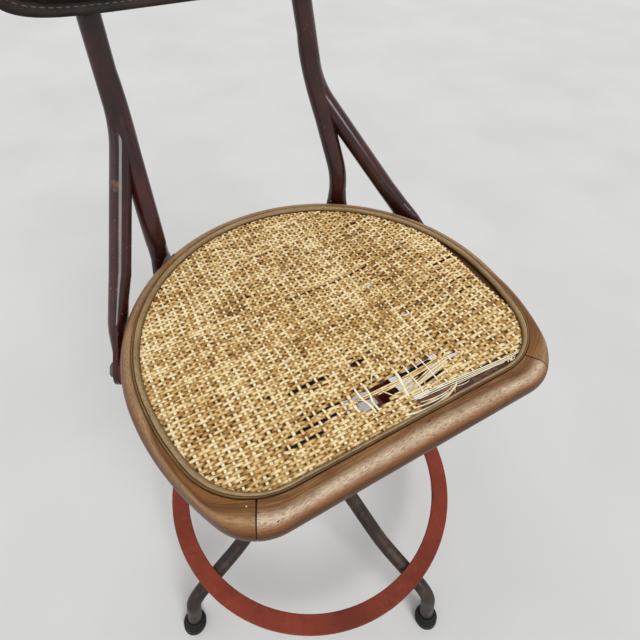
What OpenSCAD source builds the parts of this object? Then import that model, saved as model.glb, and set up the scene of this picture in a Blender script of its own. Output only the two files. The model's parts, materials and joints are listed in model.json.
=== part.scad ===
// Operator chair: a turning, height-adjustable work seat on four bent tubular legs.
// Millimetres. The floor is z = 0 and the turning axis is the Z axis. The seat faces -Y.

/* [Seat outline] */
// Height of the seat frame's top above the floor
seat_h = 528; // [495:1:580]
// Radius of the seat's round back
seat_r = 188; // [182:1:198]
// How far the centre of the round back lies in front of the turning axis
seat_shift = 26; // [18:1:34]
// Radius of the seat's gently curved sides
side_r = 270; // [240:5:330]
// Radius of the two front corners
corner_r = 47; // [38:1:56]
// Distance from the turning axis to the front edge
seat_front = 172; // [164:1:182]
// Thickness of the bent rim and the front rail
rim_t = 26; // [22:1:30]
// Width of the wood outside the bead, at the sides and the back
rim_w = 10.5; // [8:0.5:14]
// Width of the wood outside the bead, at the front
front_w = 21; // [16:1:26]
// How much rounder the bead's corners are than the frame's
bead_corner_extra = 20; // [12:1:26]
// Width of the ledge that the cane lies on, under and inside the bead
ledge_w = 17; // [14:1:22]
// Depth of the ledge below the frame's top
ledge_depth = 4; // [3.5:0.5:6]
// How far along the side the mitre of the front rail lies, as an angle round the frame's corner
mitre_out_angle = 58; // [50:1:66]
// The same angle where the mitre meets the bead
mitre_in_angle = 67; // [60:1:72]

/* [Cane and bead] */
// Thickness of the woven cane
cane_t = 2; // [1.2:0.2:2.6]
// Width of the bead
bead_w = 7.5; // [6:0.5:9]
// How far the bead stands above the frame's top
bead_rise = 1.6; // [0.8:0.2:2.4]

/* [Back posts] */
// Outside diameter of the posts and braces
post_d = 20; // [18:0.5:22]
// Wall of the posts and braces
post_wall = 2; // [1.5:0.25:2.5]
// Distance of each post's bend from the middle of the seat
bend_x = 103; // [96:1:108]
// Distance of the bend behind the turning axis
bend_y = 187; // [180:1:192]
// Height of the bend above the seat
bend_z = 112; // [100:1:125]
// Distance from the middle to the lower tube, level with the seat
low_x = 162; // [160:1:170]
// Distance of the lower tube behind the axis, level with the seat
low_y = 87; // [84:1:94]
// Backward lean of the upper tube
post_lean = 16.1; // [12:0.5:18]
// Inward lean of the upper tube
post_splay = 2.8; // [0:0.5:4]
// Height of the posts' upper ends above the seat
post_top = 300; // [285:1:305]
// Radius of the post's bend
post_bend_r = 80; // [60:5:100]
// Thickness of a tube hammered flat
tab_t = 4.4; // [3.6:0.2:5]
// Width of a tube hammered flat
tab_w = 28; // [24:1:30]
// Depth of the post's bolt hole below the seat
tab_hole_z = 45; // [42:1:50]
// Diameter of the bolts in the tabs
tab_bolt_d = 8; // [6:1:8]
// Distance of each brace's foot from the middle of the seat
brace_x = 108.5; // [107:0.5:114]
// Distance of the brace's foot behind the axis
brace_y = 138; // [137:0.5:144]
// Height above the seat at which the brace turns upright
brace_knee_z = 30; // [28:1:38]
// Radius of the brace's bend
brace_bend_r = 60; // [45:5:70]

/* [Backrest] */
// Height of the pad's lower edge above the seat
pad_z = 196; // [188:1:204]
// Width of the pad, over its curve
pad_w = 352; // [320:2:380]
// Height of the pad
pad_h = 138; // [120:1:142]
// Thickness of the pad at its crown
pad_t = 24; // [18:1:30]
// Thickness of the pad's sewn border
border_t = 7; // [5:0.5:9]
// Radius of the backrest's curve
back_r = 420; // [380:10:600]
// Thickness of the bent backrest board
board_t = 8; // [6:0.5:10]
// Vertical distance between the backrest bolts
back_bolt_pitch = 62; // [50:1:70]
// Diameter of the backrest bolts
back_bolt_d = 6; // [5:1:6]

/* [Base] */
// Outside diameter of the legs
leg_d = 20; // [18:0.5:22]
// Wall of the legs
leg_wall = 2; // [1.5:0.25:2.5]
// Distance of the feet from the turning axis, at the floor
foot_reach = 251; // [240:1:262]
// Turn of the base against the seat
base_turn = 16.4; // [0:0.1:45]
// Slope of the legs where they leave the hub
leg_slope_in = 40; // [36:1:44]
// Slope of the legs under the foot ring
leg_slope_mid = 18; // [14:1:20]
// Slope of the legs at the feet
leg_slope_out = 80; // [76:1:84]
// Radius of the leg's upper bend
leg_bend_in = 120; // [90:5:140]
// Radius of the leg's lower bend
leg_bend_out = 36; // [30:1:44]
// Distance of the leg's upper bend from the axis
knee_in_r = 143; // [135:1:152]
// Height of the foot ring's top above the floor
ring_h = 127; // [118:1:136]
// Outside diameter of the foot ring
ring_d = 430; // [416:1:442]
// Width of the foot ring's strip
ring_w = 24; // [20:1:28]
// Thickness of the foot ring's strip
ring_t = 6; // [4:0.5:8]
// Diameter of the rubber feet
foot_d = 33; // [30:0.5:38]
// Height of the rubber feet
foot_h = 27; // [24:1:32]

/* [Column] */
// Outside diameter of the column tube
column_d = 38; // [36:1:42]
// Diameter of the sliding spindle
spindle_d = 30; // [26:1:32]
// Running clearance of a shaft in its bore, on the radius
run_gap = 0.05; // [0.02:0.01:0.1]
// Diameter of the base hub
hub_d = 84; // [80:1:96]
// Height of the base hub
hub_h = 62; // [58:1:70]
// Height of the column's upper end above the floor
column_top = 392; // [380:1:400]
// Outside diameter of the clamp collar
collar_d = 56; // [52:1:64]
// Height of the clamp collar
collar_h = 30; // [26:1:36]
// Diameter of the clamp screw
clamp_screw_d = 10; // [8:1:12]
// Diameter of the clamp knob
knob_d = 40; // [32:1:48]
// Travel of the seat below its set height
travel_down = 45; // [20:1:46]
// Outside diameter of the seat boss
boss_d = 56; // [52:1:60]
// Length of the seat boss below the seat bars
boss_h = 46; // [42:1:52]
// Diameter of the spindle's journal in the bushes
journal_d = 22; // [20:1:24]
// Outside diameter of the bushes
bush_d = 28; // [26:1:30]
// Length of each bush
bush_h = 16; // [12:1:17]
// Diameter of the spindle's threaded end
stud_d = 12; // [10:1:14]

/* [Seat irons] */
// Turn of the long seat bar against the seat's middle line
bar_turn = 7; // [0:1:9]
// Width of the long seat bar
bar_w = 20; // [18:1:24]
// Thickness of the seat bar and cross bars
bar_t = 6; // [5:0.5:7]
// Diameter of the plate on the seat boss
plate_d = 96; // [92:1:104]
// Width of the cross bars
cross_w = 22; // [18:1:24]
// Thickness of the lugs that the tabs are bolted to
lug_t = 5; // [4:0.5:6]
// Diameter of the wood screws
wood_screw_d = 5; // [4:0.5:6]

/* [Hidden] */
seat_gap = 0.1;
static_gap = 0.05;
eps = 0.01;
// How far a bend runs into the straight tube's wall, and how much thinner its wall is there
bend_lap = 1;
bend_thin = 0.04;
$fn = 64;

// Directions of the four legs, counted from the seat's left
leg_turns = [180 + base_turn, 270 + base_turn, 360 + base_turn, 90 + base_turn];

// Vector helpers
function unit(v) = v / norm(v);
function sum_to(v, i) = i < 0 ? 0 : v[i] + sum_to(v, i - 1);
function mirror_x(p) = [-p[0], p[1], p[2]];

// Places children so that their Z axis points along z_dir and their X axis near x_near
module aim(origin, z_dir, x_near) {
    z = unit(z_dir);
    y = unit(cross(z, x_near));
    x = cross(y, z);
    multmatrix([
        [x[0], y[0], z[0], origin[0]],
        [x[1], y[1], z[1], origin[1]],
        [x[2], y[2], z[2], origin[2]],
        [0, 0, 0, 1]
    ])
        children();
}

// Length cut off each side of a corner by a bend of radius r
function bend_cut(p, a, b, r) = r * tan(acos(unit(p - a) * unit(b - p)) / 2);

// A bent tube through the points in a line, with a bend of radius bends[i] at point i and open ends.
// A wall of half the diameter gives a solid bar. The bends run a little way into the straight walls.
module bent_tube(points, bends, d, wall) {
    last = len(points) - 1;
    cuts = [for (i = [0:last]) i == 0 || i == last ? 0 : bend_cut(points[i], points[i - 1], points[i + 1], bends[i])];
    bore = d - 2 * wall;
    for (i = [0:last - 1]) {
        dir = unit(points[i + 1] - points[i]);
        start = points[i] + dir * cuts[i];
        run = norm(points[i + 1] - points[i]) - cuts[i] - cuts[i + 1];
        side = abs(dir[2]) > 0.9 ? [1, 0, 0] : [0, 0, 1];
        aim(start, dir, side) difference() {
            cylinder(d = d, h = run);
            if (bore > 0) translate([0, 0, -1]) cylinder(d = bore, h = run + 2);
        }
    }
    for (i = [1:1:last - 1]) {
        dir_in = unit(points[i] - points[i - 1]);
        dir_out = unit(points[i + 1] - points[i]);
        axis = unit(cross(dir_in, dir_out));
        towards = cross(axis, dir_in);
        centre = points[i] - dir_in * cuts[i] + towards * bends[i];
        angle = acos(dir_in * dir_out);
        lap = bend_lap / bends[i] * 180 / PI;
        aim(centre, axis, -towards) rotate([0, 0, -lap])
            rotate_extrude(angle = angle + 2 * lap) translate([bends[i], 0]) difference() {
                circle(d = d - 2 * bend_thin);
                if (bore > 0) circle(d = bore + 2 * bend_thin);
            }
    }
}

// Seat plan. A plan is [back radius, back centre y, side radius, corner radius, front y].
frame_plan = [seat_r, -seat_shift, side_r, corner_r, -seat_front];
bead_plan = [seat_r - rim_w, -seat_shift - (front_w - rim_w) / 4, side_r, corner_r + bead_corner_extra,
    -seat_front + front_w];

function inset_plan(p, d) = [p[0] - d, p[1], p[2] - d, p[3] - d, p[4] + d];
function corner_y(p) = p[4] + p[3];
function corner_x(p) = p[0] - p[2] + sqrt(pow(p[2] - p[3], 2) - pow(corner_y(p) - p[1], 2));
function side_angle(p) = atan2(p[1] - corner_y(p), corner_x(p) - (p[0] - p[2]));

// Point of a plan. Stages: 0 to 1 back, to 2 side, to 3 corner up to the mitre, to 4 corner after it,
// to 5 front. The mitre angle says where stage 3 ends. The right half is made, from the back's middle.
function half_point(p, s, mitre) =
    s <= 1 ? [p[0] * sin(90 * s), p[1] + p[0] * cos(90 * s)] :
    s <= 2 ? let(a = side_angle(p) * (s - 1)) [p[0] - p[2] + p[2] * cos(a), p[1] - p[2] * sin(a)] :
    s <= 3 ? let(a = side_angle(p) + (mitre - side_angle(p)) * (s - 2))
        [corner_x(p) + p[3] * cos(a), corner_y(p) - p[3] * sin(a)] :
    s <= 4 ? let(a = mitre + (90 - mitre) * (s - 3))
        [corner_x(p) + p[3] * cos(a), corner_y(p) - p[3] * sin(a)] :
    [corner_x(p) * (5 - s), p[4]];

// Signed stage: negative stages are the left half
function plan_point(p, s, mitre) =
    let(q = half_point(p, abs(s), mitre)) [s < 0 ? -q[0] : q[0], q[1]];

back_steps = 18;
side_steps = 3;
corner_steps = 5;
hoop_half = concat(
    [for (i = [1:back_steps]) i / back_steps],
    [for (i = [1:side_steps]) 1 + i / side_steps],
    [for (i = [1:corner_steps]) 2 + i / corner_steps]
);
rail_half = concat([for (i = [0:corner_steps]) 3 + i / corner_steps]);
hoop_last = len(hoop_half) - 1;
rail_last = len(rail_half) - 1;
hoop_stations = concat([for (i = [hoop_last:-1:0]) -hoop_half[i]], [0], hoop_half);
rail_stations = concat(rail_half, [for (i = [rail_last:-1:0]) -rail_half[i]]);
ring_stations = concat(hoop_stations, [for (i = [1:rail_last]) rail_half[i]],
    [for (i = [rail_last:-1:1]) -rail_half[i]]);

// Section of the frame at a station: outer round, top, rabbet, ledge, inner side and underside.
// The round is as deep as the wood outside the rabbet allows, up to half the frame's thickness.
nose_r = rim_t / 2;
nose_steps = 6;
function frame_section(s) =
    let(
        groove = plan_point(bead_plan, s, mitre_in_angle),
        nose_deep = min(nose_r, norm(groove - plan_point(frame_plan, s, mitre_out_angle)) - 0.8),
        nose = [for (k = [0:nose_steps]) let(a = 90 * k / nose_steps)
            [nose_deep * (1 - cos(a)), nose_r * sin(a)]],
        outer = [for (n = nose) plan_point(inset_plan(frame_plan, n[0]), s, mitre_out_angle)],
        ledge = plan_point(inset_plan(bead_plan, ledge_w), s, mitre_in_angle)
    )
    concat(
        [for (k = [0:nose_steps]) [outer[k][0], outer[k][1], seat_h - nose_r + nose[k][1]]],
        [[groove[0], groove[1], seat_h]],
        [[groove[0], groove[1], seat_h - ledge_depth]],
        [[ledge[0], ledge[1], seat_h - ledge_depth]],
        [[ledge[0], ledge[1], seat_h - rim_t]],
        [[groove[0], groove[1], seat_h - rim_t]],
        [for (k = [nose_steps:-1:1]) [outer[k][0], outer[k][1], seat_h - nose_r - nose[k][1]]]
    );

// Triangles that join ring i to ring j, each of n points from index 0
function band(i, j, n) = [for (k = [0:n - 1]) each [
    [i * n + k, i * n + (k + 1) % n, j * n + k],
    [j * n + k, i * n + (k + 1) % n, j * n + (k + 1) % n]
]];

// End face of a frame section, as upright strips between its top and its underside
section_n = 2 * nose_steps + 6;
function end_strips() = let(m = nose_steps, n = section_n) concat(
    [[0, 1, n - 1]],
    [for (k = [1:m - 1]) each [[k, k + 1, n - k], [k + 1, n - k - 1, n - k]]],
    [[m, m + 1, m + 2], [m, m + 2, m + 5], [m, m + 5, m + 6]],
    [[m + 2, m + 3, m + 4], [m + 2, m + 4, m + 5]]
);
function shift_face(f, d, turn) = turn ? [f[0] + d, f[2] + d, f[1] + d] : [f[0] + d, f[1] + d, f[2] + d];

module frame_part(stations) {
    last = len(stations) - 1;
    rings = [for (s = stations) frame_section(s)];
    polyhedron(
        points = [for (r = rings) each r],
        faces = concat(
            [for (i = [0:last - 1]) each band(i + 1, i, section_n)],
            [for (f = end_strips()) shift_face(f, 0, false)],
            [for (f = end_strips()) shift_face(f, last * section_n, true)]
        ),
        convexity = 6
    );
}

module seat_hoop() color("saddlebrown") frame_part(hoop_stations);

module front_rail() color("sienna") frame_part(rail_stations);

// Bead: a flat strip with a round top, bent round the rabbet
bead_base = seat_h - ledge_depth + cane_t;
bead_top = seat_h + bead_rise;
function bead_section(s) =
    let(
        shape = [
            [0, 0], [0, 0.55], [0.14, 0.82], [0.34, 0.97], [0.55, 1],
            [0.76, 0.93], [0.93, 0.72], [1, 0.4], [1, 0]
        ]
    )
    [for (q = shape)
        let(p = plan_point(inset_plan(bead_plan, seat_gap + q[0] * (bead_w - seat_gap)), s, mitre_in_angle))
        [p[0], p[1], bead_base + q[1] * (bead_top - bead_base)]];

module seat_bead() {
    n = len(bead_section(0));
    count = len(ring_stations);
    color("peru")
        polyhedron(
            points = [for (s = ring_stations) each bead_section(s)],
            faces = [for (i = [0:count - 1]) each band((i + 1) % count, i, n)],
            convexity = 6
        );
}

// Cane panel, as a flat sheet that lies on the ledge under the bead
module cane_panel() {
    edge = [for (s = ring_stations) plan_point(inset_plan(bead_plan, seat_gap), s, mitre_in_angle)];
    color("goldenrod")
        translate([0, 0, seat_h - ledge_depth]) linear_extrude(cane_t) polygon(edge);
}

// Back post. Its points are for the right side; the left one is its mirror image.
bend_point = [bend_x, bend_y, seat_h + bend_z];
low_point = [low_x, low_y, seat_h];
low_dir = unit(low_point - bend_point);
up_dir = unit([-tan(post_splay), tan(post_lean), 1]);
top_point = bend_point + up_dir * ((post_top - bend_z) / up_dir[2]);
// A point of the lower tube at a height below the seat
function low_at(z) = low_point + low_dir * (z / low_dir[2]);
back_centre = [0, -seat_shift, 0];
function radial(p) = unit([p[0], p[1] + seat_shift, 0]);
// Direction square to the lower tube that points away from the seat
post_side = unit(radial(low_at(-tab_hole_z)) - low_dir * (radial(low_at(-tab_hole_z)) * low_dir));
squash_from = low_at(16);
squash_to = low_at(-16);
post_tab_len = norm(low_at(-tab_hole_z) - squash_to);

// A tube end that narrows from round to flat, then runs on as a flat tab with a hole.
// Its Z axis runs down the tube and its X axis is the flat's normal.
module flat_end(squash_len, tab_len, hole_d) {
    hull() {
        translate([0, 0, -3]) cylinder(d = post_d - 0.9, h = 3, $fn = 32);
        translate([0, 0, squash_len * 0.5]) scale([0.72, 1.12, 1]) cylinder(d = post_d, h = eps, $fn = 32);
    }
    hull() {
        translate([0, 0, squash_len * 0.5]) scale([0.72, 1.12, 1]) cylinder(d = post_d, h = eps, $fn = 32);
        translate([-tab_t / 2, -tab_w / 2, squash_len]) cube([tab_t, tab_w, eps]);
    }
    difference() {
        union() {
            translate([-tab_t / 2, -tab_w / 2, squash_len]) cube([tab_t, tab_w, tab_len]);
            translate([-tab_t / 2, 0, squash_len + tab_len]) rotate([0, 90, 0])
                cylinder(d = tab_w, h = tab_t);
        }
        translate([-tab_t, 0, squash_len + tab_len]) rotate([0, 90, 0])
            cylinder(d = hole_d, h = 2 * tab_t);
    }
}

module back_post() {
    difference() {
        bent_tube([top_point, bend_point, squash_from], [0, post_bend_r, 0], post_d, post_wall);
        backrest_frame() for (z = back_bolt_heights)
            translate([post_x_at(z), -post_d, z]) rotate([-90, 0, 0])
                cylinder(d = back_bolt_d + 0.4, h = 2 * post_d);
    }
    aim(squash_from, low_dir, post_side)
        flat_end(norm(squash_to - squash_from), post_tab_len, tab_bolt_d + 0.4);
}

module post_right() color("#4a2520") back_post();

module post_left() color("#4a2520") mirror([1, 0, 0]) back_post();

// Brace: from under the post's bend to the seat's rear, upright at its foot
brace_foot = [brace_x, brace_y, seat_h];
brace_knee = [brace_x, brace_y, seat_h + brace_knee_z];
brace_weld = bend_point + up_dir * 14 + [-1.2, -1.6, 0];
brace_side = radial(brace_foot);
brace_squash_z = 12;

module brace() {
    difference() {
        bent_tube(
            [brace_foot + [0, 0, brace_squash_z], brace_knee, brace_weld],
            [0, brace_bend_r, 0], post_d, post_wall
        );
        bent_tube([bend_point + up_dir * 60, bend_point, low_at(20)], [0, post_bend_r, 0],
            post_d + 2 * static_gap, post_d);
    }
    aim(brace_foot + [0, 0, brace_squash_z], [0, 0, -1], brace_side)
        flat_end(brace_squash_z + 20, tab_hole_z - 20, tab_bolt_d + 0.4);
}

module brace_right() color("#4a2520") brace();

module brace_left() color("#4a2520") mirror([1, 0, 0]) brace();

// Plugs that close the posts' upper ends
module post_plug() {
    aim(top_point, up_dir, [1, 0, 0]) {
        translate([0, 0, static_gap]) cylinder(d = post_d, h = 2.5);
        translate([0, 0, -4]) cylinder(d = post_d - 2 * post_wall - 2 * static_gap, h = 5);
    }
}

module post_plugs() color("#1c1a19") {
    post_plug();
    mirror([1, 0, 0]) post_plug();
}

// Backrest frame: origin between the post axes at the pad's middle height, Z up along the lean
pad_mid = pad_z + pad_h / 2 * cos(post_lean);
module backrest_frame() {
    y = bend_y + (pad_mid - bend_z) * tan(post_lean);
    translate([0, y, seat_h + pad_mid]) rotate([-post_lean, 0, 0]) children();
}
// Distance of a post's axis from the middle, at height z of the backrest frame
function post_x_at(z) = bend_x - (pad_mid + z * cos(post_lean) - bend_z) * tan(post_splay);
back_bolt_heights = [-back_bolt_pitch / 2 - 8, back_bolt_pitch / 2 - 8];
board_out_r = back_r + board_t;
contact_x = post_x_at((post_top - pad_mid) / cos(post_lean));
curve_centre_y = -sqrt(pow(board_out_r + post_d / 2 + 0.3, 2) - pow(contact_x, 2));

// Outline of the board, round at its corners
module round_rect(w, h, r) {
    square([w - 2 * r, h], center = true);
    square([w, h - 2 * r], center = true);
    for (x = [-1, 1], y = [-1, 1]) translate([x * (w / 2 - r), y * (h / 2 - r)]) circle(r = r);
}

board_margin = 9;
board_h = pad_h - 2 * board_margin;
board_w = pad_w - 2 * board_margin;

module backrest_board() color("saddlebrown") backrest_frame() difference() {
    intersection() {
        translate([0, curve_centre_y, -board_h / 2]) difference() {
            cylinder(r = board_out_r, h = board_h, $fn = 180);
            translate([0, 0, -1]) cylinder(r = back_r, h = board_h + 2, $fn = 180);
        }
        translate([0, board_t * 3, 0]) rotate([90, 0, 0]) linear_extrude(80) round_rect(board_w, board_h, 30);
    }
    for (x = [-1, 1], z = back_bolt_heights) translate([x * post_x_at(z), 0, z]) rotate([90, 0, 0]) {
        translate([0, 0, -40]) cylinder(d = back_bolt_d + 0.4, h = 120);
        translate([0, 0, bolt_head_seat]) cylinder(d = back_bolt_d * 2.6, h = 60);
    }
}

// Where the heads of the backrest bolts lie, in front of the post axes
bolt_head_seat = post_d / 2 + 0.3 + board_t - 4;

module backrest_bolt() {
    rotate([90, 0, 0]) {
        translate([0, 0, -post_d / 2 - 6.5]) cylinder(d = back_bolt_d, h = post_d / 2 + 8 + bolt_head_seat);
        translate([0, 0, bolt_head_seat + static_gap]) cylinder(d = back_bolt_d * 2.4, h = 2.5);
        translate([0, 0, -post_d / 2 - 5.05]) cylinder(d = back_bolt_d * 1.9, h = 5, $fn = 6);
    }
}

module backrest_bolts() color("dimgray") backrest_frame()
    for (x = [-1, 1], z = back_bolt_heights) translate([x * post_x_at(z), 0, z]) backrest_bolt();

// Pad: a leather cushion with a thin sewn border and a crowned middle, bent to the board
pad_rings = [1, 1, 0.97, 0.92, 0.88, 0.8, 0.68, 0.5, 0.28];
pad_border = 0.9;
pad_steps = 64;
pad_corner = 7;
// Rounded-rectangle point of unit half size at an angle
function pad_unit(a) =
    let(c = cos(a), s = sin(a), k = pow(pow(abs(c), pad_corner) + pow(abs(s), pad_corner), -1 / pad_corner))
    [k * c, k * s];
function pad_thick(q) =
    q > 0.97 ? border_t * 0.55 :
    q > pad_border ? border_t :
    border_t * 0.8 + (pad_t - border_t * 0.8) * pow(max(0, 1 - pow(q / pad_border, 3.2)), 0.6);
// A point of the bent pad: x over the curve, z up, t in front of the board
function pad_bend(x, z, t) =
    let(r = back_r - seat_gap * 3 - t, a = x / back_r * 180 / PI)
    [r * sin(a), curve_centre_y + r * cos(a), z];
function pad_ring(q, t) = [for (i = [0:pad_steps - 1])
    let(u = pad_unit(360 * i / pad_steps)) pad_bend(q * u[0] * pad_w / 2, q * u[1] * pad_h / 2, t)];

module backrest_pad() {
    n = pad_steps;
    last = len(pad_rings);
    front = [for (i = [1:last - 1]) each pad_ring(pad_rings[i], pad_thick(pad_rings[i]))];
    back = [for (q = [0.97, 0.6, 0.3]) each pad_ring(q, 0)];
    points = concat(pad_ring(1, border_t * 0.25), front, [pad_bend(0, 0, pad_t)], back, [pad_bend(0, 0, 0)]);
    tip = last * n;
    rear = tip + 1;
    rear_tip = rear + 3 * n;
    color("#2a1d18") backrest_frame()
        polyhedron(
            points = points,
            faces = concat(
                [for (i = [0:last - 2]) each band(i + 1, i, n)],
                [for (k = [0:n - 1]) [(last - 1) * n + k, tip, (last - 1) * n + (k + 1) % n]],
                [for (k = [0:n - 1]) each [
                    [k, (k + 1) % n, rear + k],
                    [rear + k, (k + 1) % n, rear + (k + 1) % n]
                ]],
                [for (i = [0:1], k = [0:n - 1]) each [
                    [rear + i * n + k, rear + i * n + (k + 1) % n, rear + (i + 1) * n + k],
                    [rear + (i + 1) * n + k, rear + i * n + (k + 1) % n, rear + (i + 1) * n + (k + 1) % n]
                ]],
                [for (k = [0:n - 1]) [rear + 2 * n + k, rear + 2 * n + (k + 1) % n, rear_tip]]
            ),
            convexity = 4
        );
}

// Legs. A leg is drawn along +X and turned to its place.
ring_out_r = ring_d / 2;
ring_in_r = ring_out_r - ring_w;
ring_base = ring_h - ring_t;
// Leg centreline height where it passes under the ring's inner edge
leg_under = ring_base - leg_d / 2 / cos(leg_slope_mid) - seat_gap;
knee_in_z = leg_under + (ring_in_r - knee_in_r) * tan(leg_slope_mid);
leg_start_r = 27;
leg_start = [leg_start_r, 0, knee_in_z + (knee_in_r - leg_start_r) * tan(leg_slope_in)];
leg_end_z = 9;
leg_end_r = foot_reach - leg_end_z / tan(leg_slope_out);
// The lower bend's corner, where the middle run meets the run down to the foot
knee_out_r = (leg_under + ring_in_r * tan(leg_slope_mid) - leg_end_z - leg_end_r * tan(leg_slope_out)) /
    (tan(leg_slope_mid) - tan(leg_slope_out));
leg_points = [
    leg_start,
    [knee_in_r, 0, knee_in_z],
    [knee_out_r, 0, leg_under + (ring_in_r - knee_out_r) * tan(leg_slope_mid)],
    [leg_end_r, 0, leg_end_z]
];
leg_out_dir = [cos(leg_slope_out), 0, -sin(leg_slope_out)];

module leg(turn) color("#3d322e") rotate(turn)
    bent_tube(leg_points, [0, leg_bend_in, leg_bend_out, 0], leg_d, leg_wall);

module leg_left() leg(leg_turns[0]);

module leg_front() leg(leg_turns[1]);

module leg_right() leg(leg_turns[2]);

module leg_rear() leg(leg_turns[3]);

// Rubber foot: a stepped ferrule on the leg's end, cut flat where it stands on the floor
module foot(turn) {
    floor_reach = foot_reach + 60 * cos(leg_slope_out) / sin(leg_slope_out);
    color("#222426") rotate(turn) intersection() {
        aim([leg_end_r, 0, leg_end_z], leg_out_dir, [0, 1, 0]) difference() {
            translate([0, 0, -(foot_h - leg_end_z)]) rotate_extrude() polygon([
                [0, 0], [leg_d / 2 + 2.2, 0], [leg_d / 2 + 2.8, 0.8],
                [leg_d / 2 + 2.8, 7], [foot_d / 2 - 2, 9], [foot_d / 2 - 1.4, 10],
                [foot_d / 2 - 1.4, 15], [foot_d / 2, 16.5], [foot_d / 2, 40], [0, 40]
            ]);
            translate([0, 0, -60]) cylinder(d = leg_d + 2 * static_gap, h = 60 + seat_gap);
        }
        translate([0, -50, 0]) cube([floor_reach + 50, 100, 80]);
    }
}

module foot_left() foot(leg_turns[0]);

module foot_front() foot(leg_turns[1]);

module foot_right() foot(leg_turns[2]);

module foot_rear() foot(leg_turns[3]);

// Foot ring: a flat strip with eased edges, bent to a circle
module foot_ring() {
    ease = 1;
    color("#9c4535") translate([0, 0, ring_base]) rotate_extrude($fn = 180) polygon([
        [ring_in_r, 0], [ring_out_r, 0], [ring_out_r, ring_t - ease], [ring_out_r - ease, ring_t],
        [ring_in_r + ease, ring_t], [ring_in_r, ring_t - ease]
    ]);
}

// Cleats: blocks that fill the wedge between the sloping leg and the flat ring
cleat_w = 12;
module ring_cleats() color("#7d3a2e") for (turn = leg_turns) rotate(turn) difference() {
    translate([ring_in_r + 4, -cleat_w / 2, ring_base - leg_d]) cube([ring_w - 8, cleat_w, leg_d - static_gap]);
    aim([ring_in_r, 0, leg_under], [cos(leg_slope_mid), 0, -sin(leg_slope_mid)], [0, 1, 0])
        translate([0, 0, -60]) cylinder(d = leg_d + 2 * static_gap, h = 160);
    aim([ring_in_r, 0, leg_under], [cos(leg_slope_mid), 0, -sin(leg_slope_mid)], [0, 1, 0])
        translate([-20, -40, -60]) cube([40, 40, 160]);
}

// Base hub: a cast boss with a waist, four slanting sockets and the column's bore
hub_r = hub_d / 2;
hub_mid = leg_start[2] - (hub_r - leg_start_r) * tan(leg_slope_in) / 2;
hub_base = hub_mid - hub_h / 2;
module base_hub() color("#3a3432") difference() {
    translate([0, 0, hub_base]) rotate_extrude() polygon([
        [0, 0], [hub_r - 12, 0], [hub_r - 8, 3], [hub_r - 1.5, 10], [hub_r, 13],
        [hub_r, hub_h - 13], [hub_r - 1.5, hub_h - 10], [hub_r - 12, hub_h - 3], [hub_r - 14, hub_h], [0, hub_h]
    ]);
    translate([0, 0, hub_base - 1]) cylinder(d = column_d + 2 * static_gap, h = hub_h + 2);
    for (turn = leg_turns) rotate(turn)
        aim(leg_start, [cos(leg_slope_in), 0, -sin(leg_slope_in)], [0, 1, 0])
            translate([0, 0, -seat_gap]) cylinder(d = leg_d + 2 * static_gap, h = 60);
}

// Column tube with the clamp screw's hole in its side
collar_base = column_top - collar_h;
collar_mid = column_top - collar_h / 2;
column_base = hub_base;
module column_tube() color("#37302d") difference() {
    translate([0, 0, column_base]) cylinder(d = column_d, h = column_top - column_base);
    translate([0, 0, column_base - 1])
        cylinder(d = spindle_d + 2 * run_gap, h = column_top - column_base + 2);
    translate([0, 0, collar_mid]) rotate([0, 90, 0]) cylinder(d = clamp_screw_d + 0.4, h = column_d);
}

// Clamp collar with a boss that the screw runs in
collar_boss_d = 24;
collar_boss_end = collar_d / 2 + 8;
module clamp_collar() color("#37302d") difference() {
    union() {
        translate([0, 0, collar_base]) rotate_extrude() polygon([
            [0, 0], [collar_d / 2 - 2, 0], [collar_d / 2, 2],
            [collar_d / 2, collar_h - 2], [collar_d / 2 - 2, collar_h], [0, collar_h]
        ]);
        translate([0, 0, collar_mid]) rotate([0, 90, 0]) cylinder(d = collar_boss_d, h = collar_boss_end);
    }
    translate([0, 0, collar_base - 1]) cylinder(d = column_d + 2 * static_gap, h = collar_h + 2);
    translate([0, 0, collar_mid]) rotate([0, 90, 0])
        cylinder(d = clamp_screw_d + 2 * run_gap, h = collar_boss_end + 1);
}

// Clamp screw and its knob
screw_tip = spindle_d / 2 + seat_gap;
knob_face = collar_boss_end + 5;
knob_len = 26;
module clamp_screw() color("silver") translate([0, 0, collar_mid]) rotate([0, 90, 0]) {
    translate([0, 0, screw_tip]) cylinder(d = clamp_screw_d, h = knob_face - screw_tip + 12);
}

module clamp_knob() color("#1d1b1a") translate([0, 0, collar_mid]) rotate([0, 90, 0]) difference() {
    translate([0, 0, knob_face]) rotate_extrude() polygon([
        [0, 0], [9, 0], [9, 4], [knob_d / 2 - 4, 8], [knob_d / 2 - 0.5, 11], [knob_d / 2, 14],
        [knob_d / 2, 19], [knob_d / 2 - 1.5, 22], [knob_d / 2 - 6, 25], [0, knob_len]
    ]);
    translate([0, 0, knob_face - 1]) cylinder(d = clamp_screw_d + 2 * static_gap, h = 13 + seat_gap);
    for (a = [0:45:315]) rotate(a) translate([knob_d / 2 + 2.5, 0, knob_face + 5]) cylinder(d = 9, h = knob_len);
}

// Spindle and what turns on it, from the seat down
bar_base = seat_h - rim_t - bar_t;
plate_base = bar_base - bar_t;
boss_base = plate_base + bar_t - boss_h;
washer_t = 3;
upper_washer_base = boss_base - washer_t;
lower_washer_base = upper_washer_base - washer_t - seat_gap;
flange_t = 6;
flange_base = lower_washer_base - flange_t;
spindle_base = hub_base + travel_down;
nut_recess_d = 36;
nut_recess = 13;
keeper_base = bar_base - nut_recess;
stud_top = bar_base - 1;

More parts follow.
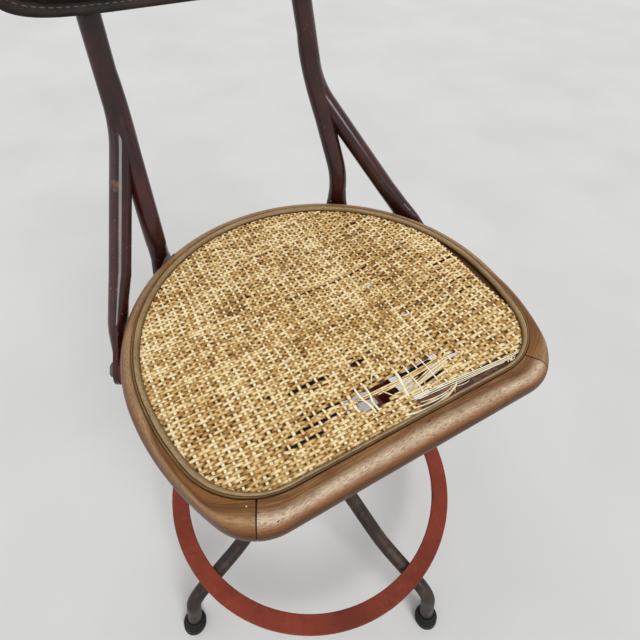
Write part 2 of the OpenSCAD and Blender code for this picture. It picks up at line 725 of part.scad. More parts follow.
module spindle() color("silver") difference() {
    union() {
        translate([0, 0, spindle_base]) cylinder(d = spindle_d, h = flange_base + flange_t - spindle_base);
        translate([0, 0, flange_base]) cylinder(d = journal_d, h = keeper_base + seat_gap - static_gap - flange_base);
        translate([0, 0, flange_base]) cylinder(d = stud_d, h = stud_top - flange_base);
    }
    translate([0, 0, spindle_base - 1]) cylinder(d = spindle_d - 10, h = flange_base - spindle_base - 20);
}

module spindle_flange() color("#37302d") translate([0, 0, flange_base]) difference() {
    cylinder(d = boss_d - 4, h = flange_t);
    translate([0, 0, -1]) cylinder(d = spindle_d + 2 * static_gap, h = flange_t + 2);
}

module thrust_ring(z) translate([0, 0, z]) difference() {
    cylinder(d = boss_d - 6, h = washer_t);
    translate([0, 0, -1]) cylinder(d = journal_d + 2 * run_gap, h = washer_t + 2);
}

module lower_washer() color("#b08d57") thrust_ring(lower_washer_base);

module upper_washer() color("silver") thrust_ring(upper_washer_base - static_gap);

module bush(z) color("#b08d57") translate([0, 0, z]) difference() {
    cylinder(d = bush_d, h = bush_h);
    translate([0, 0, -1]) cylinder(d = journal_d + 2 * run_gap, h = bush_h + 2);
}

module lower_bush() bush(boss_base);

module upper_bush() bush(keeper_base - bush_h);

module seat_boss() color("#37302d") difference() {
    union() {
        translate([0, 0, boss_base]) rotate_extrude() polygon([
            [0, 0], [boss_d / 2 - 3, 0], [boss_d / 2, 3], [boss_d / 2, boss_h - bar_t - 3],
            [boss_d / 2 + 1, boss_h - bar_t], [plate_d / 2 - 1, boss_h - bar_t], [plate_d / 2, boss_h - bar_t + 1],
            [plate_d / 2, boss_h], [0, boss_h]
        ]);
    }
    translate([0, 0, boss_base - 1]) cylinder(d = bush_d + 2 * static_gap, h = boss_h);
    translate([0, 0, keeper_base]) cylinder(d = nut_recess_d, h = nut_recess + 1);
    boss_bolt_places() translate([0, 0, bar_base - 20]) cylinder(d = boss_bolt_d + 0.4, h = 40);
}

module keeper_washer() color("silver") translate([0, 0, keeper_base + seat_gap]) difference() {
    cylinder(d = nut_recess_d - 4, h = 2.4);
    translate([0, 0, -1]) cylinder(d = stud_d + 2 * static_gap, h = 5);
}

module keeper_nut() color("dimgray") translate([0, 0, keeper_base + seat_gap + 2.4 + static_gap]) difference() {
    cylinder(d = 22, h = 9, $fn = 6);
    translate([0, 0, -1]) cylinder(d = stud_d + 2 * static_gap, h = 12);
}

// Seat bar, front to rear under the frame, turned a little against the middle line
bar_front = seat_front - nose_r - 4;
bar_rear = seat_r - seat_shift - nose_r - 1;
boss_bolt_d = 8;
boss_bolt_r = plate_d / 2 - 10.5;
screw_inset = 7;
// Places along the seat bar, counted towards the rear
bar_screws = [-bar_front + screw_inset, bar_rear - screw_inset];
cross_base = bar_base - bar_t - static_gap;
front_cross_y = -plate_d / 2 - cross_w / 2 - 2;
side_hole = low_at(-tab_hole_z);
side_cross_y = max(side_hole[1] + 12, plate_d / 2 + cross_w / 2 + 0.5);
rear_cross_y = bar_rear * cos(bar_turn) - screw_inset - wood_screw_d - cross_w / 2 - 0.5;
cross_places = [front_cross_y, side_cross_y, rear_cross_y];
// Middle of the frame's underside at a distance behind the axis, where a cross bar's pad touches it
pad_inset = rim_w + ledge_w * 0.5;
pad_d = 13;
function pad_x(y) = y > -seat_shift
    ? sqrt(pow(seat_r - pad_inset, 2) - pow(y + seat_shift, 2))
    : seat_r - side_r + sqrt(pow(side_r - pad_inset, 2) - pow(y + seat_shift, 2));

module along_bar(places) for (d = places) rotate(bar_turn) translate([0, d, 0]) children();

module boss_bolt_places() along_bar([-boss_bolt_r, boss_bolt_r]) children();

module crossing_places() along_bar([for (y = cross_places) y / cos(bar_turn)]) children();

module seat_bar() color("#5a2a22") difference() {
    rotate(bar_turn) translate([-bar_w / 2, -bar_front, bar_base]) cube([bar_w, bar_front + bar_rear, bar_t]);
    boss_bolt_places() translate([0, 0, bar_base - 1]) cylinder(d = boss_bolt_d + 0.4, h = bar_t + 2);
    crossing_places() translate([0, 0, bar_base - 1]) cylinder(d = boss_bolt_d + 0.4, h = bar_t + 2);
    along_bar(bar_screws) translate([0, 0, bar_base - 1]) cylinder(d = wood_screw_d + 0.4, h = bar_t + 2);
}

// A bolt up through two irons, with its head below and its nut above
module iron_bolt(base) {
    translate([0, 0, base]) cylinder(d = boss_bolt_d, h = bar_base + bar_t + 8 - base);
    translate([0, 0, base - 5.3]) cylinder(d = boss_bolt_d * 1.75, h = 5.25, $fn = 6);
    translate([0, 0, bar_base + bar_t + static_gap]) cylinder(d = boss_bolt_d * 1.75, h = 6, $fn = 6);
}

// Bolts through the seat bar: two into the boss plate and one at each cross bar
module boss_bolts() color("dimgray") {
    boss_bolt_places() iron_bolt(plate_base);
    crossing_places() iron_bolt(cross_base);
}

// Wood screws up into the frame, heads below the irons
screw_len = 15;
module rail_screw(base) {
    translate([0, 0, base - 3]) cylinder(d = wood_screw_d, h = bar_base + bar_t + screw_len - base + 3);
    translate([0, 0, base - 3]) cylinder(d = wood_screw_d * 1.9, h = 3 - static_gap);
}

module rail_screws() color("silver") {
    along_bar(bar_screws) rail_screw(bar_base);
    for (m = [0, 1], y = cross_places) mirror([m, 0, 0]) translate([pad_x(y), y, 0]) rail_screw(cross_base);
}

// Cross bars under the seat bar. The side and rear ones have a lug at either end for a tab.
side_lug_face = tab_t / 2 + static_gap;
brace_hole = brace_foot - [0, 0, tab_hole_z];
lug_w = 26;

// A lug behind a tab's hole: Z axis along the tab, X axis away from the seat
module lug(hole, along, side, up) {
    aim(hole, along, side) {
        translate([-side_lug_face - lug_t, 0, 0]) rotate([0, 90, 0]) cylinder(d = lug_w, h = lug_t);
        translate([-side_lug_face - lug_t, -lug_w / 2, -up]) cube([lug_t, lug_w, up]);
    }
}

module lug_hole(hole, along, side) aim(hole, along, side)
    translate([-30, 0, 0]) rotate([0, 90, 0]) cylinder(d = tab_bolt_d + 0.4, h = 60);

// Half of the space that the seat side of a lug's outer face takes
module inside_of(hole, along, side) aim(hole, along, side)
    translate([-side_lug_face - 800, -400, -400]) cube([800, 800, 800]);

// A cross bar's strip, and the pads that fill the seat bar's thickness between it and the frame
module cross_strip(y, half) {
    translate([-half, y - cross_w / 2, cross_base]) cube([2 * half, cross_w, bar_t]);
    for (m = [0, 1]) mirror([m, 0, 0]) translate([pad_x(y), y, cross_base])
        cylinder(d = pad_d, h = bar_base + bar_t - static_gap - cross_base);
}

module cross_holes(y) {
    translate([0, 0, cross_base - 1]) crossing_places() cylinder(d = boss_bolt_d + 0.4, h = bar_t + 2);
    for (m = [0, 1]) mirror([m, 0, 0]) translate([pad_x(y), y, cross_base - 1])
        cylinder(d = wood_screw_d + 0.4, h = 3 * bar_t);
}

module front_cross_bar() color("#5a2a22") difference() {
    cross_strip(front_cross_y, pad_x(front_cross_y) + pad_d / 2 + 1);
    cross_holes(front_cross_y);
}

// A cross bar whose ends are cut along two lugs
module lug_cross_bar(y, half, hole, along, side) color("#5a2a22") difference() {
    union() {
        intersection() {
            cross_strip(y, half);
            inside_of(hole, along, side);
            mirror([1, 0, 0]) inside_of(hole, along, side);
        }
        for (m = [0, 1]) mirror([m, 0, 0]) intersection() {
            lug(hole, along, side, 30);
            translate([0, -300, cross_base - 60]) cube([400, 600, 60 + bar_t]);
        }
    }
    for (m = [0, 1]) mirror([m, 0, 0]) lug_hole(hole, along, side);
    cross_holes(y);
}

module side_cross_bar() lug_cross_bar(side_cross_y, 250, side_hole, low_dir, post_side);

module rear_cross_bar() lug_cross_bar(rear_cross_y, brace_x + 8, brace_hole, [0, 0, -1], brace_side);

// Bolts through tabs and lugs, heads outside
module tab_bolt(hole, along, side) aim(hole, along, side) rotate([0, 90, 0]) {
    reach = side_lug_face + lug_t + 9;
    translate([0, 0, -reach]) cylinder(d = tab_bolt_d, h = reach + tab_t / 2 + 1);
    translate([0, 0, tab_t / 2 + static_gap]) cylinder(d = tab_bolt_d * 1.75, h = 5, $fn = 6);
    translate([0, 0, -side_lug_face - lug_t - static_gap - 6]) cylinder(d = tab_bolt_d * 1.75, h = 6, $fn = 6);
}

module tab_bolts() color("dimgray") for (m = [0, 1]) mirror([m, 0, 0]) {
    tab_bolt(side_hole, low_dir, post_side);
    tab_bolt(brace_hole, [0, 0, -1], brace_side);
}

base_hub();
leg_left();
leg_front();
leg_right();
leg_rear();
foot_left();
foot_front();
foot_right();
foot_rear();
foot_ring();
ring_cleats();
column_tube();
clamp_collar();
clamp_screw();
clamp_knob();
spindle();
spindle_flange();
lower_washer();
upper_washer();
lower_bush();
upper_bush();
seat_boss();
keeper_washer();
keeper_nut();
seat_bar();
front_cross_bar();
side_cross_bar();
rear_cross_bar();
boss_bolts();
rail_screws();
tab_bolts();
seat_hoop();
front_rail();
seat_bead();
cane_panel();
post_left();
post_right();
brace_left();
brace_right();
post_plugs();
backrest_board();
backrest_pad();
backrest_bolts();
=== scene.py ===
"""Operator chair: the woven seat, bentwood rim, leather back and every finish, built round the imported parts."""

from __future__ import annotations

import json
import logging
import math
from dataclasses import dataclass, field
from enum import Enum
from functools import partial
from typing import Callable, Sequence

import bpy
import numpy as np
from mathutils import Matrix, Vector

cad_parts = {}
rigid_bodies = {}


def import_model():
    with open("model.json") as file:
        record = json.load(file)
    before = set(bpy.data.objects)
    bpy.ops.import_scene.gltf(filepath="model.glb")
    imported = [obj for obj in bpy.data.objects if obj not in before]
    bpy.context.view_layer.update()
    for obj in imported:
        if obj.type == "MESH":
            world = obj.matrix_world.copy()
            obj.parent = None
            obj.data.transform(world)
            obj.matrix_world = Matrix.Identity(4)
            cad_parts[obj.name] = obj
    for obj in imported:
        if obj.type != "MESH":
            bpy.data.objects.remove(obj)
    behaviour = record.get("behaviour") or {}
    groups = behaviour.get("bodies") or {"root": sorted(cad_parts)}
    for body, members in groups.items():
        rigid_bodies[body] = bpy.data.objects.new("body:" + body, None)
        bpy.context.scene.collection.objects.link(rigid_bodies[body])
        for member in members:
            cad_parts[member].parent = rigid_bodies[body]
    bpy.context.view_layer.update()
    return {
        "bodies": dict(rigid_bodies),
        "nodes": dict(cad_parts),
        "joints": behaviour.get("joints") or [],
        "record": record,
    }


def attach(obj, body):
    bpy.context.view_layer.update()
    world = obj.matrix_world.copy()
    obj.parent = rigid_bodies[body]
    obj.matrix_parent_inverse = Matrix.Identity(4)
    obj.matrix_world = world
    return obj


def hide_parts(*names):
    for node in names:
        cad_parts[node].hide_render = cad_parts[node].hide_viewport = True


log = logging.getLogger("chair")
Points = np.ndarray
Shape = Callable[[Points, Points], Points]
Piece = bpy.types.Object
Colour = tuple[int, int, int]
Place = tuple[float, float, float]
Value = "Signal | float"
SEAT_TOP = 0.528  # height of the seat frame's top
WEAVE_Z = 0.52515  # height of the cane's middle
WEAVE_SWING = 0.0006  # how far a strand rises and dips
POST_DOWN = (0.3655, -0.6196, -0.6939)  # direction of the right post's lower tube
MM = 0.001


def linear(rgb: Colour) -> tuple[float, float, float, float]:
    """Turns a screen colour of 0 to 255 into the linear colour that a shader takes.

    Args:
        rgb: Red, green and blue as they look on screen.
    Returns:
        Linear red, green, blue and an alpha of 1.
    """
    parts = [c / 255 for c in rgb]
    return (*[c / 12.92 if c <= 0.04045 else ((c + 0.055) / 1.055) ** 2.4 for c in parts], 1.0)


def run_along(line: Points) -> Points:
    """Distance run along a line at each of its points."""
    return np.concatenate([[0], np.cumsum(np.linalg.norm(np.diff(line, axis=0), axis=1))])


# Shader building


class Signal:
    """A shader value. Python's operators on it add Math nodes."""

    def __init__(self, sheet: Sheet, socket: bpy.types.NodeSocket) -> None:
        """Wraps one output socket of a sheet."""
        self.sheet = sheet
        self.socket = socket

    def _math(self, operation: str, other: Value = 0.0) -> Signal:
        """Adds one Math node.

        Args:
            operation: The node's operation.
            other: Right operand.
        Returns:
            The node's value.
        """
        return self.sheet.add("ShaderNodeMath", {"operation": operation}, {0: self, 1: other})

    def __add__(self, other: Value) -> Signal:
        """Sum."""
        return self._math("ADD", other)

    def __sub__(self, other: Value) -> Signal:
        """Difference."""
        return self._math("SUBTRACT", other)

    def __mul__(self, other: Value) -> Signal:
        """Product."""
        return self._math("MULTIPLY", other)

    def most(self, other: Value) -> Signal:
        """The larger of two values."""
        return self._math("MAXIMUM", other)

    def floor(self) -> Signal:
        """The whole number at or below the value."""
        return self._math("FLOOR")

    def away(self, middle: float) -> Signal:
        """Distance from a middle value."""
        return (self - middle)._math("ABSOLUTE")

    def ramp(self, low: float, high: float) -> Signal:
        """Goes smoothly from 0 at low to 1 at high; low may be the larger.

        Args:
            low: Value that gives 0.
            high: Value that gives 1.
        Returns:
            A value of 0 to 1.
        """
        flip = low > high
        ends = {0: self, 1: min(low, high), 2: max(low, high), 3: 1.0 if flip else 0.0, 4: 0.0 if flip else 1.0}
        return self.sheet.add("ShaderNodeMapRange", {"interpolation_type": "SMOOTHSTEP", "clamp": True}, ends)

    def band(self, middle: float, half: float) -> Signal:
        """1 at a middle value, falling smoothly to 0 at half a width on either side.

        Args:
            middle: Value that gives 1.
            half: Distance at which it gives 0.
        Returns:
            A value of 0 to 1.
        """
        return self.away(middle).ramp(half, 0.0)


class Sheet:
    """A material's node sheet with one shader on it."""

    def __init__(self, name: str) -> None:
        """Makes a material with a Principled shader.

        Args:
            name: The material's name.
        """
        self.material = bpy.data.materials.new(name)
        self.material.use_nodes = True
        self.tree = self.material.node_tree
        self.shader = next(n for n in self.tree.nodes if n.type == "BSDF_PRINCIPLED")

    def node(self, kind: str, settings: dict | None = None, inputs: dict | None = None) -> bpy.types.Node:
        """Adds one node.

        Args:
            kind: The node's type.
            settings: Its properties, set first. The key stops gives a ramp's (place, colour) pairs.
            inputs: Numbers, colours, sockets or signals for its sockets, by name or index.
        Returns:
            The node.
        """
        made = self.tree.nodes.new(kind)
        for key, value in (settings or {}).items():
            if key == "stops":
                ramp = made.color_ramp
                while len(ramp.elements) < len(value):
                    ramp.elements.new(0.5)
                for element, (place, colour) in zip(ramp.elements, value):
                    element.position = place
                    element.color = colour
            else:
                setattr(made, key, value)
        for key, value in (inputs or {}).items():
            self.feed(made.inputs[key], value)
        return made

    def add(self, kind: str, settings: dict | None = None, inputs: dict | None = None,
            out: int | str = 0) -> Signal:
        """Adds one node and returns one of its outputs.

        Args:
            kind: The node's type.
            settings: Its properties.
            inputs: What its sockets get.
            out: Which output is wanted.
        Returns:
            That output as a signal.
        """
        return Signal(self, self.node(kind, settings, inputs).outputs[out])

    def feed(self, socket: bpy.types.NodeSocket, value: object) -> None:
        """Links or sets a socket.

        Args:
            socket: The input socket.
            value: A signal, or a number, vector or colour.
        """
        if isinstance(value, Signal):
            self.tree.links.new(value.socket, socket)
        else:
            socket.default_value = value

    def place(self) -> Signal:
        """The point's place on the object, in metres."""
        return self.add("ShaderNodeTexCoord", out="Object")

    def uv(self) -> Signal:
        """The piece's own UV map: metres along and metres around."""
        return self.add("ShaderNodeUVMap", {"uv_map": "UVMap"})

    def axes(self, vector: Signal) -> list[Signal]:
        """Splits a vector into its three values."""
        made = self.node("ShaderNodeSeparateXYZ", inputs={0: vector})
        return [Signal(self, made.outputs[i]) for i in range(3)]

    def vector(self, x: Value, y: Value, z: Value = 0.0) -> Signal:
        """Joins three values into a vector."""
        return self.add("ShaderNodeCombineXYZ", inputs={0: x, 1: y, 2: z})

    def stretch(self, vector: Signal, scale: Sequence[float], shift: Sequence[float] = (0, 0, 0)) -> Signal:
        """Scales a vector along each axis.

        Args:
            vector: What is scaled.
            scale: Three factors.
            shift: What is added after that.
        Returns:
            The scaled vector.
        """
        return self.add("ShaderNodeMapping", inputs={"Vector": vector, "Scale": scale, "Location": shift})

    def noise(self, vector: Signal, scale: float, detail: float = 3.0, rough: float = 0.5,
              swirl: float = 0.0) -> Signal:
        """Cloudy noise of 0 to 1 at a vector."""
        return self.add("ShaderNodeTexNoise", inputs={
            "Vector": vector, "Scale": scale, "Detail": detail, "Roughness": rough, "Distortion": swirl})

    def grain(self, vector: Signal, scale: Place, detail: float, rough: float, swirl: float = 0.0) -> Signal:
        """Cloudy noise of 0 to 1 with a scale of its own along each axis."""
        return self.noise(self.stretch(vector, scale), 1.0, detail, rough, swirl)

    def cells(self, vector: Signal, scale: float) -> Signal:
        """Distance to the edge between scattered cells."""
        return self.add("ShaderNodeTexVoronoi", {"feature": "DISTANCE_TO_EDGE"},
                        {"Vector": vector, "Scale": scale, "Randomness": 1.0}, out="Distance")

    def mix(self, share: Value, first: Signal | Colour, second: Signal | Colour) -> Signal:
        """Blends two colours, each a signal or red, green and blue of 0 to 255 as they look on screen.

        Args:
            share: How much of the second colour shows.
            first: The first colour.
            second: The second colour.
        Returns:
            The blended colour.
        """
        first, second = (c if isinstance(c, Signal) else linear(c) for c in (first, second))
        return self.add("ShaderNodeMix", {"data_type": "RGBA", "clamp_factor": True},
                        {0: share, 6: first, 7: second}, out=2)

    def bump(self, height: Signal, depth: float, strength: float = 1.0) -> Signal:
        """Turns a height of 0 to 1 into a surface normal.

        Args:
            height: The height.
            depth: What a height of 1 is, in metres.
            strength: Share of the effect.
        Returns:
            The normal.
        """
        return self.add("ShaderNodeBump", inputs={"Height": height, "Distance": depth, "Strength": strength})

    def surface(self, **sockets: object) -> bpy.types.Material:
        """Feeds the shader's sockets, named with _ for a space.

        Args:
            sockets: What each socket gets.
        Returns:
            The finished material.
        """
        for key, value in sockets.items():
            self.feed(self.shader.inputs[key.replace("_", " ")], value)
        return self.material


# Finishes


@dataclass(frozen=True)
class GlossPaint:
    """Old stove enamel on steel tube: dark, glossy, thin at the edges, with chips, a hand-worn band and painted shade
    towards the top, under the pad.
    """

    name: str = "post_enamel"
    colour: Colour = (58, 24, 20)
    warm: Colour = (72, 31, 24)
    dark: Colour = (34, 14, 13)
    gloss: float = 0.2
    chips: float = 0.3
    worn: Place = (-0.1296, 0.1462, 0.612)
    worn_r: float = 0.014

    def material(self) -> bpy.types.Material:
        """Builds the enamel."""
        s = Sheet(self.name)
        p = s.place()
        cloud = s.noise(p, 14, 4, 0.55).ramp(0.36, 0.66)
        streak = s.noise(s.stretch(p, (1, 1, 0.16)), 90, 3, 0.6).ramp(0.42, 0.7)
        base = s.mix(cloud, self.dark, self.colour)
        base = s.mix(streak * 0.45, base, self.warm)
        # Painted shade: the tube darkens towards the top, under the leather pad.
        base = s.mix(s.axes(p)[2].ramp(0.66, 0.76) * 0.6, base, (30, 17, 17))
        spots = s.noise(p, 260, 2, 0.6).ramp(0.66, 0.7) * s.noise(p, 22, 2).ramp(0.5, 0.62) * self.chips
        base = s.mix(spots, base, (128, 104, 90))
        away = s.add("ShaderNodeVectorMath", {"operation": "DISTANCE"}, {0: p, 1: self.worn}, out="Value")
        ragged = away + s.noise(p, 70, 4, 0.7) * (self.worn_r * 1.2)
        worn = ragged.ramp(self.worn_r * 1.25, self.worn_r * 0.9)
        tan = s.mix(s.noise(p, 160, 3).ramp(0.4, 0.6), (112, 82, 52), (74, 54, 40))
        base = s.mix(worn * 0.75, base, tan)
        rough = s.noise(p, 34, 3, 0.6).ramp(0.35, 0.75) * 0.1 + self.gloss + spots * 0.3 + worn * 0.2
        return s.surface(Base_Color=base, Roughness=rough, Normal=s.bump(s.noise(p, 34, 1, 0.4), 0.0003, 0.4),
                         Coat_Weight=0.42, Coat_Roughness=0.12, Specular_IOR_Level=0.12)


@dataclass(frozen=True)
class DullPaint:
    """Thin, scuffed paint on the legs and the mechanism, with rust freckles."""

    name: str = "leg_paint"
    colour: Colour = (56, 43, 36)
    light: Colour = (80, 66, 56)
    dark: Colour = (34, 26, 22)
    rust: Colour = (104, 62, 42)
    rough: float = 0.42
    metal: float = 0.0

    def material(self) -> bpy.types.Material:
        """Builds the paint."""
        s = Sheet(self.name)
        p = s.place()
        base = s.mix(s.noise(p, 18, 4, 0.6).ramp(0.35, 0.65), self.dark, self.colour)
        base = s.mix(s.noise(p, 75, 4, 0.65).ramp(0.5, 0.72) * 0.7, base, self.light)
        freckle = s.noise(p, 190, 3, 0.6).ramp(0.6, 0.72) * s.noise(p, 12, 2).ramp(0.45, 0.6)
        base = s.mix(freckle * 0.5, base, self.rust)
        rough = s.noise(p, 60, 3, 0.6).ramp(0.3, 0.7) * 0.2 + self.rough + freckle * 0.2
        height = s.noise(p, 240, 3, 0.6) * 0.6 + s.noise(p, 40, 2) * 0.7
        return s.surface(Base_Color=base, Roughness=rough, Metallic=self.metal, Specular_IOR_Level=0.26,
                         Normal=s.bump(height, 0.0003, 0.7))


@dataclass(frozen=True)
class RedOxide:
    """Red primer on the foot ring, rubbed by shoes."""

    name: str = "ring_primer"
    colour: Colour = (134, 59, 41)
    dark: Colour = (106, 45, 33)
    pale: Colour = (148, 80, 63)

    def material(self) -> bpy.types.Material:
        """Builds the primer."""
        s = Sheet(self.name)
        p = s.place()
        base = s.mix(s.noise(p, 9, 4, 0.6).ramp(0.35, 0.7), self.dark, self.colour)
        scuff = s.noise(p, 46, 5, 0.7, 0.6).ramp(0.54, 0.74)
        base = s.mix(scuff * 0.45, base, self.pale)
        stain = s.noise(p, 24, 4, 0.7, 0.8).ramp(0.59, 0.7)
        base = s.mix(stain * 0.6, base, (70, 42, 36))
        pits = s.noise(p, 300, 2, 0.5).ramp(0.62, 0.7)
        base = s.mix(pits * 0.5, base, (88, 44, 38))
        scratch = s.cells(s.stretch(p, (1, 0.12, 1)), 160).ramp(0.03, 0.0)
        base = s.mix(scratch * s.noise(p, 16, 2).ramp(0.52, 0.64) * 0.4, base, (120, 92, 82))
        rough = s.noise(p, 30, 3).ramp(0.3, 0.7) * 0.16 + 0.5
        return s.surface(Base_Color=base, Roughness=rough, Specular_IOR_Level=0.16,
                         Normal=s.bump(s.noise(p, 210, 3, 0.6), 0.0003, 0.6))


@dataclass(frozen=True)
class Rubber:
    """Black moulded rubber, dusty and scuffed."""

    name: str = "foot_rubber"
    colour: Colour = (25, 23, 22)
    dust: Colour = (54, 48, 43)
    gloss: float = 0.55

    def material(self) -> bpy.types.Material:
        """Builds the rubber."""
        s = Sheet(self.name)
        p = s.place()
        height = s.axes(p)[2]
        dust = s.noise(p, 60, 4, 0.7).ramp(0.45, 0.75) * (height.ramp(0.02, 0.0) * 0.6 + 0.25)
        base = s.mix(s.noise(p, 30, 3).ramp(0.3, 0.7) * 0.5, self.colour, (24, 24, 26))
        base = s.mix(dust, base, self.dust)
        return s.surface(Base_Color=base, Roughness=dust * 0.3 + self.gloss, Specular_IOR_Level=0.14,
                         Normal=s.bump(s.noise(p, 380, 3, 0.6), 0.0002, 0.6))


@dataclass(frozen=True)
class Metal:
    """Bare or blackened metal with fine turning marks and a little tarnish."""

    name: str = "bright_steel"
    colour: Colour = (176, 172, 166)
    stain: Colour = (112, 92, 76)
    rough: float = 0.28

    def material(self) -> bpy.types.Material:
        """Builds the metal."""
        s = Sheet(self.name)
        p = s.place()
        tarnish = s.noise(p, 34, 4, 0.65).ramp(0.48, 0.72)
        base = s.mix(tarnish * 0.7, self.colour, self.stain)
        lines = s.noise(s.stretch(p, (0.25, 0.25, 1)), 1500, 2, 0.5)
        rough = tarnish * 0.25 + s.noise(p, 120, 3).ramp(0.3, 0.7) * 0.1 + self.rough
        return s.surface(Base_Color=base, Metallic=1.0, Roughness=rough, Normal=s.bump(lines, 0.00003, 0.5))


@dataclass(frozen=True)
class BentWood:
    """Varnished bent beech: grain along the rim, dirt and painted shade in any groove, painted shade on the underside,
    and a pale band along the nose, partly worn varnish and partly painted highlight.
    """

    name: str = "rim_wood"
    colour: Colour = (126, 82, 39)
    dark: Colour = (88, 54, 28)
    light: Colour = (152, 107, 57)
    # pale is the band along the nose: partly worn varnish, partly painted highlight.
    pale: Colour = (190, 158, 118)
    warm: Colour = (122, 74, 37)
    # shade colours the pores, and is also the painted shade on the rim's underside.
    shade: Colour = (68, 42, 26)
    nose: float = 0.0125
    wear_and_highlight: float = 1.0
    # Dark bands in each groove and at the bead's edges: dirt and painted shade, as middle and half width.
    groove_dirt_and_shade: tuple[tuple[float, float], ...] = ()
    under: float = 0.0190

    def material(self) -> bpy.types.Material:
        """Builds the wood. The UV map runs along the rim, and round it from the groove outwards."""
        s = Sheet(self.name)
        uv = s.uv()
        around = s.axes(uv)[1]
        broad = s.grain(uv, (9, 60, 1), 4, 0.6, 0.4)
        grain = s.grain(uv, (34, 620, 1), 4, 0.65, 0.5)
        fibre = s.grain(uv, (130, 2400, 1), 2, 0.6)
        pores = s.grain(uv, (210, 1300, 1), 3, 0.75)
        blotch = s.grain(uv, (24, 60, 1), 4, 0.6)
        base = s.mix(broad.ramp(0.32, 0.68), self.dark, self.colour)
        base = s.mix(grain.ramp(0.46, 0.7) * 0.75, base, self.light)
        base = s.mix(grain.ramp(0.46, 0.3) * 0.75, base, self.dark)
        warmth = around.band(self.nose + 0.0068, 0.006) * (blotch.ramp(0.3, 0.6) * 0.5 + 0.3)
        base = s.mix(warmth, base, self.warm)
        # Pale band along the nose: partly worn varnish, partly painted highlight.
        rub_and_highlight = around.band(self.nose, 0.0085) * (blotch.ramp(0.25, 0.62) * 0.65 + 0.35) * self.wear_and_highlight
        base = s.mix(rub_and_highlight * (pores.ramp(0.7, 0.32) * 0.55 + 0.35), base, self.pale)
        base = s.mix(pores.ramp(0.52, 0.68) * 0.6, base, self.shade)
        # Painted shade on the rim's underside.
        base = s.mix(around.ramp(self.under, self.under + 0.006) * 0.85, base, self.shade)
        flecks = s.grain(uv, (60, 300, 1), 3, 0.7).ramp(0.68, 0.76)
        base = s.mix(flecks * 0.7, base, (50, 32, 22))
        # Dirt and painted shade in each groove and along the bead's edges.
        for middle, half in self.groove_dirt_and_shade:
            base = s.mix(around.band(middle, half) * 0.92, base, (36, 23, 15))
        rough = blotch.ramp(0.3, 0.7) * 0.12 + rub_and_highlight * 0.12 + 0.34
        height = grain * 0.5 + fibre * 0.3 + broad * 0.5 + pores * 0.3
        return s.surface(Base_Color=base, Roughness=rough, Normal=s.bump(height, 0.00022, 0.6),
                         Coat_Weight=0.08, Coat_Roughness=0.2, Specular_IOR_Level=0.16)


@dataclass(frozen=True)
class Plywood:
    """Stained, varnished plywood with its grain from side to side."""

    name: str = "board_varnish"
    colour: Colour = (96, 62, 38)
    dark: Colour = (60, 38, 25)
    light: Colour = (124, 84, 52)

    def material(self) -> bpy.types.Material:
        """Builds the wood."""
        s = Sheet(self.name)
        p = s.place()
        figure = s.grain(p, (3, 3, 24), 4, 0.6, 1.2)
        grain = s.grain(p, (12, 12, 420), 3, 0.65, 0.3)
        pores = s.grain(p, (70, 70, 1900), 2, 0.6)
        base = s.mix(figure.ramp(0.36, 0.64), self.dark, self.colour)
        base = s.mix(grain.ramp(0.48, 0.7) * 0.6, base, self.light)
        base = s.mix(pores.ramp(0.56, 0.68) * 0.5, base, (38, 24, 17))
        scuff = s.noise(p, 60, 4, 0.7).ramp(0.62, 0.7) * s.noise(p, 9, 2).ramp(0.5, 0.65)
        base = s.mix(scuff * 0.5, base, (150, 118, 84))
        return s.surface(Base_Color=base, Roughness=scuff * 0.3 + grain.ramp(0.3, 0.7) * 0.1 + 0.34,
                         Specular_IOR_Level=0.25, Normal=s.bump(grain * 0.6 + pores * 0.4, 0.00016, 0.6))


